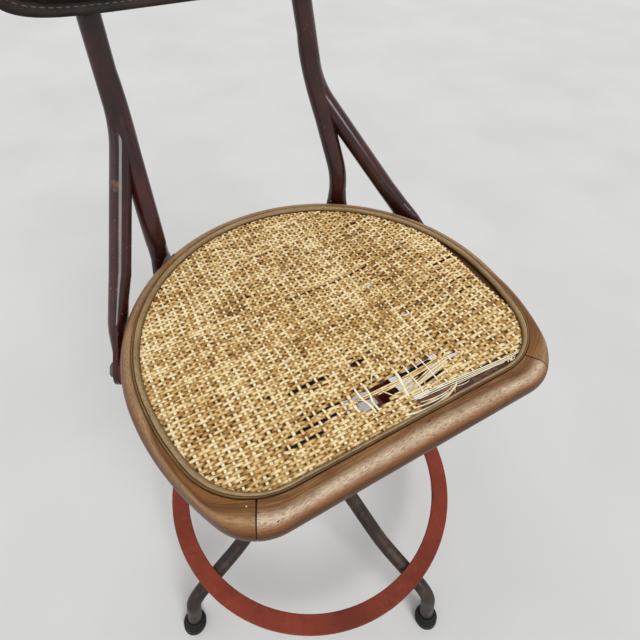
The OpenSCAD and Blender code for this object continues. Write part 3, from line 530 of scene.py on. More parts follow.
@dataclass(frozen=True)
class Cane:
    """Split cane: each strand of its own tone, with a painted highlight on its crests and painted shade where it runs
    low and along its sides.
    """

    name: str = "cane_rows"
    cream: Colour = (242, 219, 168)
    light: Colour = (206, 168, 102)
    gold: Colour = (166, 124, 64)
    brown: Colour = (114, 77, 37)
    deep: Colour = (58, 35, 16)
    level: float = WEAVE_Z
    swing: float = WEAVE_SWING
    # edge: strength of the painted shade along a strand's sides. flat: lifts the painted highlight and lessens the
    # painted shade, for loose strands.
    edge: float = 0.85
    flat: float = 0.0
    lift: float = 0.0

    def material(self) -> bpy.types.Material:
        """Builds the cane. The UV map holds metres along a strand, and the strand's number in hundredths."""
        s = Sheet(self.name)
        u, v, _ = s.axes(s.uv())
        p = s.place()
        height = s.axes(p)[2]
        number = (v * 100).floor()
        across = (v * 100 - number) * 5
        strand = s.noise(s.vector(u * 5, number * 3.7), 1.0, 1, 0.5)
        dash = s.noise(s.vector(u * 115, number * 7.31), 1.0, 1, 0.6)
        streak = s.noise(s.vector(u * 46, v * 900), 1.0, 2, 0.7)
        fibre = s.noise(s.vector(u * 110, v * 3600), 1.0, 2, 0.6)
        patch = s.noise(p, 17, 3, 0.6)
        # Painted highlight: lighter where the strand rides high over a cross strip.
        crest_highlight = height.ramp(self.level - self.swing * 0.7, self.level + self.swing * 0.95).most(self.flat)
        tone = crest_highlight * 0.62 + dash * 1.5 + strand * 0.9 + fibre * 0.8 + streak * 0.7 + patch * 0.8
        stops = [(0.0, linear(self.deep)), (0.22, linear(self.brown)), (0.46, linear(self.gold)),
                 (0.72, linear(self.light)), (0.96, linear(self.cream))]
        base = s.add("ShaderNodeValToRGB", {"stops": stops}, {0: tone - (2.18 - self.lift)})
        # Painted shade: darker where the strand passes low under a cross strip.
        dip_shade = height.ramp(self.level, self.level - self.swing * 0.95) * (1 - self.flat)
        base = s.mix(dip_shade * 0.7, base, self.deep)
        # Painted shade along each strand's sides, where it meets its neighbours.
        lip = across.away(0.3).ramp(0.12, 0.25) * (streak.ramp(0.62, 0.42) * 0.4 + 0.6) * self.edge
        base = s.mix(lip, base, self.deep)
        return s.surface(Base_Color=base, Roughness=fibre.ramp(0.3, 0.7) * 0.15 + 0.45,
                         Normal=s.bump(fibre, 0.00012, 0.5), Specular_IOR_Level=0.25)


@dataclass(frozen=True)
class Leather:
    """Old dark leather with a fine grain, long creases and rubbed crowns."""

    name: str = "pad_leather"
    colour: Colour = (40, 31, 23)
    dark: Colour = (23, 18, 14)
    rubbed: Colour = (72, 59, 42)
    crease: float = 1.0

    def material(self) -> bpy.types.Material:
        """Builds the leather."""
        s = Sheet(self.name)
        p = s.place()
        pores = s.cells(p, 620)
        folds = s.noise(s.stretch(p, (1, 1, 2.6)), 26, 4, 0.62, 1.6)
        cracks = s.cells(s.stretch(p, (1, 1, 2.2)), 70)
        base = s.mix(s.noise(p, 16, 4, 0.6).ramp(0.35, 0.68), self.dark, self.colour)
        base = s.mix(folds.ramp(0.56, 0.72) * 0.6, base, self.rubbed)
        base = s.mix(cracks.ramp(0.06, 0.0) * 0.5 * self.crease, base, (16, 12, 12))
        lines = s.grain(p, (16, 16, 460), 3, 0.65, 0.5)
        base = s.mix(lines.ramp(0.5, 0.66) * 0.5 * self.crease, base, self.rubbed)
        rough = s.noise(p, 40, 3).ramp(0.3, 0.7) * 0.18 + 0.44
        creased = (folds + lines * 0.25 + cracks.ramp(0.0, 0.1) * 0.22) * self.crease
        height = creased + pores.ramp(0.0, 0.12) * 0.16
        return s.surface(Base_Color=base, Roughness=rough, Normal=s.bump(height, 0.0011, 0.7),
                         Coat_Weight=0.04, Coat_Roughness=0.35, Specular_IOR_Level=0.25)


@dataclass(frozen=True)
class Thread:
    """Waxed sewing thread."""

    name: str = "stitch_thread"
    colour: Colour = (98, 88, 78)

    def material(self) -> bpy.types.Material:
        """Builds the thread."""
        s = Sheet(self.name)
        p = s.place()
        twist = s.noise(p, 1400, 2, 0.5)
        base = s.mix(twist.ramp(0.4, 0.6) * 0.5, self.colour, (76, 62, 48))
        return s.surface(Base_Color=base, Roughness=0.7, Normal=s.bump(twist, 0.0001, 0.6))


# Modelling tools


class Bench:
    """Blender's modelling tools, used one piece at a time."""

    @staticmethod
    def clear() -> None:
        """Leaves edit mode and deselects everything."""
        if bpy.context.mode != "OBJECT":
            bpy.ops.object.mode_set(mode="OBJECT")
        bpy.ops.object.select_all(action="DESELECT")

    @staticmethod
    def pick(obj: Piece) -> None:
        """Makes one object the only selected one, and active."""
        Bench.clear()
        obj.select_set(True)
        bpy.context.view_layer.objects.active = obj

    @staticmethod
    def loft(name: str, along: int, around: int, shape: Shape,
             scale: tuple[float, float] = (1.0, 1.0), shift: float = 0.0) -> Piece:
        """Adds a grid and lays it on a surface.

        Args:
            name: The piece's name.
            along: Faces along the piece.
            around: Faces around it.
            shape: Gives points for arrays of shares along and around, each 0 to 1.
            scale: Metres along and around that the UV map's unit becomes.
            shift: What is added to the UV map's second value.
        Returns:
            The open grid.
        """
        Bench.clear()
        bpy.ops.mesh.primitive_grid_add(x_subdivisions=along, y_subdivisions=around, size=1.0)
        obj = bpy.context.object
        obj.name = obj.data.name = name
        mesh = obj.data
        co = Bench.points(mesh)
        mesh.vertices.foreach_set("co", shape(co[:, 0] + 0.5, co[:, 1] + 0.5).ravel())
        Bench.change_uv(mesh, lambda uv: uv * scale + (0.0, shift))
        mesh.update()
        return obj

    @staticmethod
    def points(mesh: bpy.types.Mesh) -> Points:
        """A mesh's points."""
        co = np.empty(len(mesh.vertices) * 3)
        mesh.vertices.foreach_get("co", co)
        return co.reshape(-1, 3)

    @staticmethod
    def change_uv(mesh: bpy.types.Mesh, change: Callable[[Points], Points]) -> None:
        """Changes a mesh's UV map.

        Args:
            mesh: The mesh.
            change: Takes a pair for each corner and gives the new pairs.
        """
        layer = mesh.uv_layers[0]
        uv = np.empty(len(layer.data) * 2)
        layer.data.foreach_get("uv", uv)
        layer.data.foreach_set("uv", change(uv.reshape(-1, 2)).ravel())

    @staticmethod
    def close(obj: Piece, caps: bool = True, angle: float = 40.0, gap: float = 2e-6) -> Piece:
        """Merges a piece's seams, fills its open ends, points its faces outwards and smooths it.

        Args:
            obj: The piece.
            caps: Whether open ends are filled.
            angle: Edges sharper than this stay sharp, in degrees.
            gap: Points nearer than this are merged.
        Returns:
            The same piece.
        """
        Bench.pick(obj)
        bpy.ops.object.mode_set(mode="EDIT")
        bpy.ops.mesh.select_all(action="SELECT")
        bpy.ops.mesh.remove_doubles(threshold=gap)
        if caps:
            bpy.ops.mesh.fill_holes(sides=0)
        bpy.ops.mesh.select_all(action="SELECT")
        bpy.ops.mesh.normals_make_consistent(inside=False)
        bpy.ops.object.mode_set(mode="OBJECT")
        bpy.ops.object.shade_smooth_by_angle(angle=math.radians(angle))
        return obj

    @staticmethod
    def ball(segments: int, rings: int, matrix: Matrix) -> Piece:
        """Adds a ball of radius 1 and moves its points by a matrix.

        Args:
            segments: Faces round it.
            rings: Faces from pole to pole.
            matrix: Its size, turn and place.
        Returns:
            The ball.
        """
        Bench.clear()
        bpy.ops.mesh.primitive_uv_sphere_add(segments=segments, ring_count=rings, radius=1.0)
        obj = bpy.context.object
        obj.data.transform(matrix)
        return obj

    @staticmethod
    def join(name: str, parts: Sequence[Piece]) -> Piece:
        """Joins pieces into one object at the origin.

        Args:
            name: The joined piece's name.
            parts: The pieces.
        Returns:
            The joined piece.
        """
        Bench.clear()
        for part in parts:
            part.select_set(True)
        bpy.context.view_layer.objects.active = parts[0]
        bpy.ops.object.transform_apply(location=True, rotation=True, scale=True)
        if len(parts) > 1:
            bpy.ops.object.join()
        obj = bpy.context.view_layer.objects.active
        obj.name = obj.data.name = name
        return obj

    @staticmethod
    def copy(obj: Piece, matrix: Matrix) -> Piece:
        """Copies a piece with a mesh of its own and moves the copy.

        Args:
            obj: The piece.
            matrix: Where the copy goes.
        Returns:
            The copy.
        """
        twin = obj.copy()
        twin.data = obj.data.copy()
        bpy.context.scene.collection.objects.link(twin)
        twin.data.transform(matrix)
        return twin

    @staticmethod
    def finish(obj: Piece, material: bpy.types.Material, body: str, slot: str,
               stands_for: Sequence[str] = ()) -> Piece:
        """Dresses a piece and fixes it to its body.

        Args:
            obj: The piece.
            material: Its finish.
            body: The body that it moves with.
            slot: The record's finish that it takes. Not used.
            stands_for: CAD nodes that it replaces.
        Returns:
            The same piece.
        """
        obj.data.materials.clear()
        obj.data.materials.append(material)
        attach(obj, body)
        if stands_for:
            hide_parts(*stands_for)
        log.info("%s: %d faces on %s", obj.name, len(obj.data.polygons), body)
        return obj


def tube(path: Points, radius: Points | float) -> Shape:
    """Makes a loft's shape for a round bar along a line.

    Args:
        path: Points of the line.
        radius: Radius, or a radius for each point.
    Returns:
        The shape function.
    """
    path = np.asarray(path, float)
    radii = np.broadcast_to(np.asarray(radius, float), (len(path),))
    step = np.gradient(path, axis=0)
    step /= np.linalg.norm(step, axis=1)[:, None]
    side = np.cross(step, (0.0, 0.0, 1.0) if abs(step[0][2]) < 0.9 else (1.0, 0.0, 0.0))
    side /= np.linalg.norm(side, axis=1)[:, None]
    top = np.cross(side, step)

    def shape(u: Points, v: Points) -> Points:
        """Places the bar's points."""
        k = u * (len(path) - 1)

        def at(values: Points) -> Points:
            """Reads a line's values at the points' places."""
            low = np.clip(np.floor(k).astype(int), 0, len(path) - 2)
            part = (k - low).reshape(-1, *([1] * (values.ndim - 1)))
            return values[low] * (1 - part) + values[low + 1] * part

        turn = 2 * np.pi * v
        r = at(radii)
        return at(path) + at(side) * (r * np.cos(turn))[:, None] + at(top) * (r * np.sin(turn))[:, None]

    return shape


def sections(table: Points) -> Shape:
    """Makes a loft's shape from a table of sections.

    Args:
        table: Points by stage along the piece and by place round its section.
    Returns:
        The shape function.
    """
    n, m = table.shape[0] - 1, table.shape[1] - 1

    def shape(u: Points, v: Points) -> Points:
        """Reads the table."""
        return table[np.rint(u * n).astype(int), np.rint(v * m).astype(int)]

    return shape


# The seat's rim


@dataclass(frozen=True)
class Plan:
    """A seat outline: round back, gently curved sides, two corners and a straight front."""

    back_r: float
    back_y: float
    side_r: float
    corner_r: float
    front_y: float

    def inset(self, d: float) -> Plan:
        """The outline moved inwards by d."""
        return Plan(self.back_r - d, self.back_y, self.side_r - d, self.corner_r - d, self.front_y + d)

    def half(self, s: float, mitre: float) -> tuple[float, float]:
        """Point of the right half.

        Args:
            s: Stage: to 1 back, 2 side, 3 corner up to the mitre, 4 corner after it, 5 front.
            mitre: Angle round the corner at which stage 3 ends, in radians.
        Returns:
            x and y.
        """
        corner_y = self.front_y + self.corner_r
        side_x = self.back_r - self.side_r
        reach = self.side_r - self.corner_r
        corner_x = side_x + math.sqrt(reach ** 2 - (corner_y - self.back_y) ** 2)
        turn = math.atan2(self.back_y - corner_y, corner_x - side_x)
        if s <= 1:
            return self.back_r * math.sin(s * math.pi / 2), self.back_y + self.back_r * math.cos(s * math.pi / 2)
        if s <= 2:
            a = turn * (s - 1)
            return side_x + self.side_r * math.cos(a), self.back_y - self.side_r * math.sin(a)
        if s <= 4:
            a = turn + (mitre - turn) * (s - 2) if s <= 3 else mitre + (math.pi / 2 - mitre) * (s - 3)
            return corner_x + self.corner_r * math.cos(a), corner_y - self.corner_r * math.sin(a)
        return corner_x * (5 - s), self.front_y

    def point(self, s: float, mitre: float) -> tuple[float, float]:
        """Point at a signed stage; negative stages are the left half."""
        x, y = self.half(abs(s), mitre)
        return (-x if s < 0 else x), y


@dataclass
class SeatRim:
    """The bentwood hoop, the mitred front rail and the bead in their rabbet."""

    top: float = SEAT_TOP
    thick: float = 0.026
    ledge_w: float = 0.017
    ledge_depth: float = 0.004
    bead_w: float = 0.0075
    bead_rise: float = 0.0016
    spot_rise: float = 0.00022
    glue_gap: float = 0.018  # half the open mitre, in stages
    piece_step: float = 0.0034
    cane_t: float = 0.002
    pins: tuple[tuple[float, ...], ...] = (
        (-0.1373, -0.1466, 0.0, 0.0007, 0.0007, 0.0), (0.0964, 0.1319, 0.0, 0.0012, 0.001, 0.6))
    dents: tuple[tuple[float, ...], ...] = (
        (-0.1655, -0.1140, 0.0003, 0.0030, 0.0012, 0.9), (-0.0972, 0.1268, 0.0, 0.0028, 0.0009, 0.7),
        (0.1032, 0.1305, 0.0, 0.0022, 0.0008, -0.6), (-0.1222, -0.1655, 0.0017, 0.0015, 0.0005, 0.5),
        (0.0140, -0.1562, 0.0, 0.0012, 0.0005, 0.2))
    mitre_out: float = math.radians(58)
    mitre_in: float = math.radians(67)
    left_turn: float = math.radians(4.5)
    edge_at: float = 0.0289  # the outer edge's place in the UV map, in metres round the section
    edge_index: int = 17  # the section's point there
    outer: Plan = field(default_factory=lambda: Plan(0.188, -0.026, 0.270, 0.047, -0.172))
    inner: Plan = field(default_factory=lambda: Plan(0.1775, -0.028625, 0.270, 0.067, -0.151))

    def bead_at(self, s: float) -> float:
        """The bead's width at a stage: it was planed narrower along the front."""
        share = min(1.0, max(0.0, (abs(s) - 2.2) / 0.9))
        return self.bead_w - 0.0026 * share

    def stages(self, first: float, last: float, step: float) -> list[float]:
        """Stages from first to last, about step metres apart along the rim."""
        fine = np.linspace(first, last, 1200)
        pts = np.array([self.outer.point(s, self.mitre_out) for s in fine])
        run = run_along(pts)
        count = max(4, int(run[-1] / step))
        return list(np.interp(np.linspace(0, run[-1], count + 1), run, fine))

    def section(self, s: float) -> Points:
        """Points round the wood's section at a stage, from the groove's lip outwards.

        Args:
            s: The signed stage.
        Returns:
            Points, the last equal to the first.
        """
        out = np.array(self.outer.point(s, self.mitre_out + (self.left_turn if s < 0 else 0.0)))
        lip = np.array(self.inner.point(s, self.mitre_in))
        ledge = np.array(self.inner.inset(self.ledge_w).point(s, self.mitre_in))
        width = float(np.linalg.norm(out - lip))
        nose = self.thick / 2
        deep = min(nose, width - 0.0012)
        inward = (lip - out) / width
        mid = self.top - nose
        rows = [(*(lip + 0.00005 * inward), self.top - 0.0011), (*lip, self.top - 0.0007),
                (*(lip - 0.0006 * inward), self.top - 0.0001)]
        for a in np.linspace(math.pi / 2, -math.pi / 2, 29):
            at = out + inward * deep * (1 - math.cos(a))
            rows.append((*at, mid + nose * math.sin(a)))
        rows += [(*lip, self.top - self.thick), (*(ledge - 0.0008 * inward), self.top - self.thick),
                 (*ledge, self.top - self.thick + 0.0008), (*ledge, self.top - self.ledge_depth - 0.0005),
                 (*(ledge - 0.0005 * inward), self.top - self.ledge_depth), (*lip, self.top - self.ledge_depth)]
        rows.append(rows[0])
        return np.array(rows)

    def wood(self, name: str, stages: Sequence[float]) -> Piece:
        """Lofts one piece of the rim with closed ends.

        Args:
            name: The piece's name.
            stages: Its stages.
        Returns:
            The piece.
        """
        table = np.array([self.section(s) for s in stages])
        n, m = len(stages) - 1, table.shape[1] - 1
        run = float(run_along(table[:, self.edge_index])[-1])
        step = np.linalg.norm(np.diff(table, axis=1), axis=2)
        round_ = np.concatenate([np.zeros((n + 1, 1)), np.cumsum(step, axis=1)], axis=1)
        round_ += self.edge_at - round_[:, self.edge_index, None]

        def measured(uv: Points) -> Points:
            """Turns shares round the section into metres round it."""
            place = round_[np.rint(uv[:, 0] / run * n).astype(int), np.rint(uv[:, 1] * m).astype(int)]
            return np.stack([uv[:, 0], place], 1)

        obj = Bench.loft(name, n, m, sections(table), (run, 1.0))
        Bench.change_uv(obj.data, measured)
        return Bench.close(obj, angle=35)

    def bead(self) -> Piece:
        """Lofts the bead: a flat strip with a thin reed and a wide one, and a scratched line between."""
        profile = [(0.0, 0.0), (0.0, 0.5), (0.03, 0.72), (0.1, 0.88), (0.19, 0.93), (0.26, 0.88), (0.295, 0.7),
                   (0.33, 0.86), (0.4, 0.95), (0.52, 1.0), (0.66, 0.97), (0.8, 0.84), (0.92, 0.6), (1.0, 0.3),
                   (1.0, 0.0), (0.0, 0.0)]
        base = self.top - self.ledge_depth + self.cane_t
        rise = self.top + self.bead_rise - base
        half = self.stages(0, 5, 0.0032)
        stages = [-s for s in half[::-1]][:-1] + half
        rows = []
        for s in stages:
            row = []
            for across, up in profile:
                d = 0.0001 + across * (self.bead_at(s) - 0.0001)
                x, y = self.inner.inset(d).point(s, self.mitre_in)
                row.append((x, y, base + up * rise))
            rows.append(row)
        table = np.array(rows)
        run = float(run_along(table[:, 4])[-1])
        reed = Bench.loft("seat_bead_wood", len(stages) - 1, table.shape[1] - 1, sections(table), (run, 0.02))
        return Bench.close(reed, caps=False, angle=50)

    def build(self, finishes: Finishes) -> None:
        """Makes the hoop, the rail, the glue lines and the bead."""
        gap = self.glue_gap
        hoop = self.wood("hoop_wood", self.stages(-3 + gap, 3 - gap, self.piece_step))
        Bench.finish(hoop, finishes.hoop, "seat", "rim_wood", ["seat_hoop"])
        right = self.stages(3 + gap, 5, self.piece_step)
        rail = self.wood("rail_wood", right + [-s for s in right[::-1]][1:])
        Bench.finish(rail, finishes.rail, "seat", "rim_wood", ["front_rail"])
        Bench.finish(self.bead(), finishes.bead, "seat", "bead_wood", ["seat_bead"])
        plates = []
        for side in (-1, 1):
            plate = self.wood("glue", [side * (3 - gap * 1.5), side * 3, side * (3 + gap * 1.5)])
            centre = Matrix.Translation(self.section(side * 3.0)[:36].mean(axis=0))
            plate.data.transform(centre @ Matrix.Scale(0.94, 4) @ centre.inverted())
            plates.append(plate)
        Bench.finish(Bench.join("mitre_glue", plates), finishes.glue, "seat", "rim_wood")
        for name, spots, material in (("rim_pins", self.pins, finishes.steel),
                                      ("rim_dents", self.dents, finishes.glue)):
            parts = [self.spot(*one) for one in spots]
            Bench.finish(Bench.join(name, parts), material, "seat", "rim_wood")

    def spot(self, x: float, y: float, drop: float, long: float, wide: float, turn: float) -> Piece:
        """Makes one pin head or filled dent, level with the wood.

        Args:
            x: Its place from side to side.
            y: Its place from front to rear.
            drop: How far below the rim's top the wood lies there.
            long: Half its length.
            wide: Half its width.
            turn: Its direction seen from above.
        Returns:
            The spot.
        """
        place = Matrix.Translation((x, y, self.top - drop)) @ Matrix.Rotation(turn, 4, "Z")
        obj = Bench.ball(16, 8, place @ Matrix.Diagonal((long, wide, self.spot_rise, 1)))
        bpy.ops.object.shade_smooth()
        return obj


# The woven cane


class Kind(Enum):
    """What a strand is, which sets its finish."""

    ROW = "rows"
    STRIP = "strips"
    # SHADE strands are near-black painted shade under the dark slits.
    SHADE = "shade"


@dataclass(frozen=True)
class Slit:
    """A place where rows have been pushed apart. Dark ones get a near-black strand of painted shade below."""

    x0: float
    x1: float
    y: float
    gap: float
    dark: bool = True
    reach: float = 0.005


@dataclass(frozen=True)
class Loose:
    """A strand laid in the torn part through listed points: x, y and height above the weave in millimetres."""

    points: tuple[Place, ...]
    width: float
    kind: Kind = Kind.ROW
    end: float = 0.0

    def widths(self, count: int) -> Points:
        """Its width at each of its points, in metres."""
        return np.linspace(self.width, self.end or self.width, count) * MM

    def line(self, level: float, step: float = 0.0016) -> Points:
        """Runs a smooth line through the points.

        Args:
            level: The weave's height.
            step: Distance between the line's points.
        Returns:
            Points in metres.
        """
        p = np.array(self.points, float) * MM
        p[:, 2] += level
        run = run_along(p)
        at = np.linspace(0, run[-1], max(4, int(run[-1] / step)))
        k = np.clip(np.searchsorted(run, at, side="right") - 1, 0, len(p) - 2)
        t = ((at - run[k]) / (run[k + 1] - run[k]))[:, None]
        before, after = p[np.maximum(k - 1, 0)], p[np.minimum(k + 2, len(p) - 1)]
        here, there = p[k], p[k + 1]
        return 0.5 * (2 * here + (there - before) * t + (2 * before - 5 * here + 4 * there - after) * t ** 2
                      + (3 * here - before - 3 * there + after) * t ** 3)


def flat(width: float, *xy: tuple[float, float], up: float = 0.2, kind: Kind = Kind.ROW, end: float = 0.0) -> Loose:
    """Makes a loose strand that lies at one height."""
    return Loose(tuple((x, y, up) for x, y in xy), width, kind, end)


strip = partial(flat, kind=Kind.STRIP)
# Near-black strands 2.6 mm under the weave: painted shade in the black slots.
painted_shade_strand = partial(flat, up=-2.6, kind=Kind.SHADE)

TEAR: tuple[Loose, ...] = (
    flat(1.9, (-27, -111.3), (0, -111.6), (18, -111.7), (34, -111.2), (50, -110.2), (66, -108.6)),
    flat(1.8, (-27, -113.1), (0, -113.3), (18, -113.6), (34, -113.0), (50, -112.0), (66, -110.4), up=0.0),
    flat(1.7, (-6, -115.2), (8, -115.3), (20, -115.2), (34, -114.7), (48, -113.6), up=0.3),
    flat(1.5, (4, -122.2), (10, -121.8), (16, -120.6), (24, -118.6), (34, -116.6), up=0.1),
    flat(1.3, (17, -122.6), (24, -121.3), (30, -120.0), (38, -118.0), (46, -115.9), (56, -113.6), (67, -112.2),
         end=2.3),
    flat(1.1, (18, -123.6), (27, -122.6), (35, -120.9), (45, -118.4), (55, -116.3), (67, -114.5), up=0.5, end=2.4),
    flat(1.2, (19, -125.0), (28, -124.2), (35, -123.0), (45, -121.1), (55, -118.9), (67, -116.9), up=0.1, end=2.6),
    flat(1.0, (52, -120.6), (60, -119.7), (68, -118.9), up=-0.3, end=2.6),
    flat(1.2, (56, -122.2), (62, -121.4), (68, -121.0), up=-0.2, end=2.6),
    flat(2.6, (12, -126.2), (22, -127.2), (35, -127.0), (45, -125.8), (55, -124.4), (67, -123.0)),
    flat(2.6, (14, -129.4), (32, -129.5), (45, -129.0), (55, -128.2), (67, -126.8), up=0.0),
    flat(2.4, (48, -126.9), (56, -126.3), (67, -125.0), up=-0.5),
    strip(2.2, (-20.2, -101), (-20.3, -109), (-19.4, -114), (-17.6, -120), (-17, -124), (-17, -129), up=0.7),
    strip(2.2, (-11.6, -101), (-11.8, -110), (-12.4, -114), (-13.8, -119), (-13.6, -124), (-13.2, -129), up=0.7),
    strip(2.8, (19.6, -101), (19.2, -109), (18.6, -113), (17.2, -118), (16, -123), (15.4, -129), up=0.7),
    strip(1.8, (29.2, -101), (29, -109), (29, -117), (29, -124), (29.2, -131), up=0.8),
    strip(2.0, (37.6, -101), (38.2, -106), (38.3, -110.4), up=0.7),
    strip(1.4, (46, -101), (46.4, -109), (46.5, -117), (46.4, -124), (46, -131), up=0.8),
    strip(2.0, (54.6, -101), (55, -105), (55.2, -108.6), up=0.7),
    strip(0.9, (-2.2, -113.6), (0.6, -117.6), (3.4, -121.6), (5.4, -124.4), up=1.2),
    strip(0.7, (1.2, -94.5), (-1.4, -99), (-3.6, -102), (-6, -105.2), up=1.3),
    strip(0.6, (0.2, -96.5), (-2.8, -100), (-5, -104.4), up=1.5),
    strip(0.8, (6, -121.6), (12, -122.9), (19, -122.0), (26, -123.4), up=1.0),
    strip(0.7, (4, -114.2), (10, -114.6), (16, -114.0), up=0.9),
    strip(0.7, (-24, -112.4), (-20, -114.8), (-17.2, -117.4), up=1.1),
    strip(0.7, (16, -119.8), (21, -118.2), (27, -117.8), up=0.6),
    strip(0.8, (33, -127.6), (36, -123.4), (37.6, -121.6), up=1.0),
    strip(1.0, (17, -131.6), (40, -133.0), (60, -134.4), (80, -136.2), (100, -137.8), (118, -138.8), (137, -138.2),
          up=0.9),
    strip(0.9, (14, -133.2), (40, -134.7), (60, -136.0), (80, -137.7), (100, -139.2), (118, -140.2), (136, -139.6),
          up=1.0),
    strip(0.8, (20, -135.2), (42, -136.5), (62, -137.8), (84, -139.3), (104, -140.6), (123, -141.6), up=0.8),
    strip(0.6, (50, -138.9), (70, -139.6), (90, -140.4), (110, -141.8), up=0.7),
    Loose(((2, -142.0, 0.2), (12, -144.6, 0.8), (26, -146.3, 1.6), (38, -145.6, 2.0), (48, -143.0, 1.8),
           (58, -138.6, 1.0)), 2.2, Kind.STRIP),
    Loose(((12, -140.2, 0.4), (24, -142.2, 1.0), (36, -143.0, 1.2), (47, -141.8, 0.8)), 1.1, Kind.STRIP),
    Loose(((20, -138.2, 0.4), (30, -140.4, 1.0), (42, -141.0, 1.0), (52, -139.6, 0.6)), 0.8, Kind.STRIP),
    Loose(((55, -140.6, 0.8), (61, -142.0, 1.2), (66, -142.1, 1.0), (70, -141.2, 0.4)), 0.6, Kind.STRIP),
    Loose(((50.4, -145.4, 0.4), (52.6, -142.4, 1.4), (56, -139.4, 1.4), (60, -136.4, 0.8)), 0.6, Kind.STRIP),
    flat(2.3, (16, -141.2), (28, -141.2), (38, -140.2), up=-0.5),
    flat(3.6, (-27, -111.0), (-10, -113.2), (-2, -113.2), up=-1.8),
    # Painted shade under the torn part's black slots.
    painted_shade_strand(4.6, (19, -108.4), (40, -108.2), (56, -107.4)),
    painted_shade_strand(6.5, (29, -117.8), (38, -116.0), (48, -113.8)),
    painted_shade_strand(4.4, (29, -125.2), (45, -123.6), (64, -120.6)),
    painted_shade_strand(2.6, (49, -126.6), (64, -125.6)),
)


@dataclass
class WovenCane:
    """The cane: fine rows from side to side, woven over and under cross strips from front to rear."""

    rim: SeatRim
    level: float = WEAVE_Z
    row_front: float = 0.00265
    row_rear: float = 0.003
    strip_w: float = 0.0029
    swing: float = WEAVE_SWING
    thick: float = 0.0008
    seed: int = 11
    middle_x: float = 0.0633  # the strip at which the spacing changes
    left_pitch: float = 0.008075
    right_pitch: float = 0.00985
    left_count: int = 31
    right_count: int = 10
    slot_x: tuple[float, float] = (0.0185, 0.132)  # ends of the long slot at the front
    slot_slope: float = 0.085
    slot_rows_y: float = -0.1305
    slot_strips_y: float = -0.1312
    torn_rows: tuple[float, ...] = (-0.0235, 0.0595, -0.1238, -0.1060)  # left, right, front, rear
    torn_strips: tuple[float, ...] = (-0.0245, 0.0585, -0.1262, -0.1035)
    glue_at: Place = (0.010, -0.1508, 0.52425)
    glue_size: tuple[float, float] = (0.124, 0.0165)
    slits: tuple[Slit, ...] = (
        Slit(-0.071, -0.031, -0.0795, 0.0022), Slit(-0.061, -0.036, -0.0840, 0.0009),
        Slit(-0.012, 0.009, -0.080, 0.0015), Slit(-0.111, 0.072, 0.038, 0.0006),
        Slit(0.098, 0.152, 0.046, 0.0007), Slit(-0.022, 0.072, 0.015, 0.0006),
        Slit(0.131, 0.169, -0.0115, 0.0024), Slit(0.124, 0.163, -0.0185, 0.0008), Slit(0.114, 0.123, 0.0265, 0.0020),
        Slit(0.088, 0.107, 0.085, 0.0019), Slit(0.052, 0.061, 0.077, 0.0017), Slit(0.007, 0.0135, 0.028, 0.0020),
        Slit(0.133, 0.150, -0.040, 0.0011), Slit(0.130, 0.150, -0.0545, 0.0014), Slit(-0.058, -0.051, 0.0385, 0.0024),
        Slit(-0.089, -0.083, -0.0745, 0.0016), Slit(-0.073, -0.036, -0.1056, 0.0014),
        Slit(-0.090, -0.041, -0.1128, 0.0017), Slit(-0.096, -0.058, -0.1212, 0.0018),
        Slit(0.020, 0.026, -0.0965, 0.0014), Slit(-0.012, 0.006, -0.098, 0.0009), Slit(-0.012, 0.0, -0.0745, 0.0012),
        Slit(0.052, 0.064, -0.0055, 0.0022, False), Slit(0.064, 0.0735, -0.0555, 0.0026, False),
        Slit(0.0745, 0.080, -0.0555, 0.0015, False), Slit(0.107, 0.118, -0.0555, 0.0020, False),
        Slit(0.066, 0.085, -0.1133, 0.0026, False), Slit(0.086, 0.093, -0.1113, 0.0018, False),
        Slit(0.055, 0.0635, -0.1064, 0.0018, False), Slit(0.084, 0.101, -0.1362, 0.0016, False),
        Slit(0.100, 0.124, -0.1358, 0.0016), Slit(-0.012, 0.001, -0.0805, 0.0012, False),
        Slit(-0.006, -0.001, 0.0575, 0.0022, False), Slit(-0.032, -0.027, 0.043, 0.0016, False),
    )
    holes: tuple[tuple[float, float, float, float], ...] = (
        (-0.031, -0.1083, 0.004, 0.0016), (-0.037, -0.1145, 0.0032, 0.0014), (-0.0235, -0.1183, 0.0045, 0.0036),
        (-0.0245, -0.1090, 0.004, 0.0016),
    )

    def __post_init__(self) -> None:
        """Sets the random source, the panel's outline and the strands' places."""
        self.random = np.random.default_rng(self.seed)
        self.edge = np.array([
            self.rim.inner.inset(self.rim.bead_at(s) - 0.0018).half(s, self.rim.mitre_in)
            for s in np.linspace(0, 5, 500)])
        self.by_y = self.edge[np.argsort(self.edge[:, 1])]
        left = self.middle_x - self.left_pitch * np.arange(self.left_count)[::-1]
        right = self.middle_x + self.right_pitch * np.arange(1, self.right_count + 1)
        self.strips = np.concatenate([left, right])
        places, y = [], float(self.edge[:, 1].min()) + 0.0014
        while y < float(self.edge[:, 1].max()) + 0.001:
            places.append(y)
            share = min(1.0, max(0.0, (y + 0.03) / 0.06))
            y += (self.row_front + (self.row_rear - self.row_front) * share) * self.random.uniform(0.82, 1.18)
        self.rows = np.array(places)
        self.marks = [(slit, self.seam(slit)) for slit in self.slits]

    def seam(self, slit: Slit) -> float:
        """Finds the place between two rows that lies nearest to a slit's middle."""
        x = np.array([(slit.x0 + slit.x1) / 2])
        y0 = slit.y
        for _ in range(6):
            y0 = slit.y - (self.sway(x, np.array([y0]))[1][0] - y0)
        between = (self.rows[1:] + self.rows[:-1]) / 2
        return float(between[np.abs(between - y0).argmin()])

    def inside(self, x: Points, y: Points) -> Points:
        """Tells which points lie within the panel's outline."""
        half = np.interp(y, self.by_y[:, 1], self.by_y[:, 0], left=-1.0, right=-1.0)
        return np.abs(x) < half

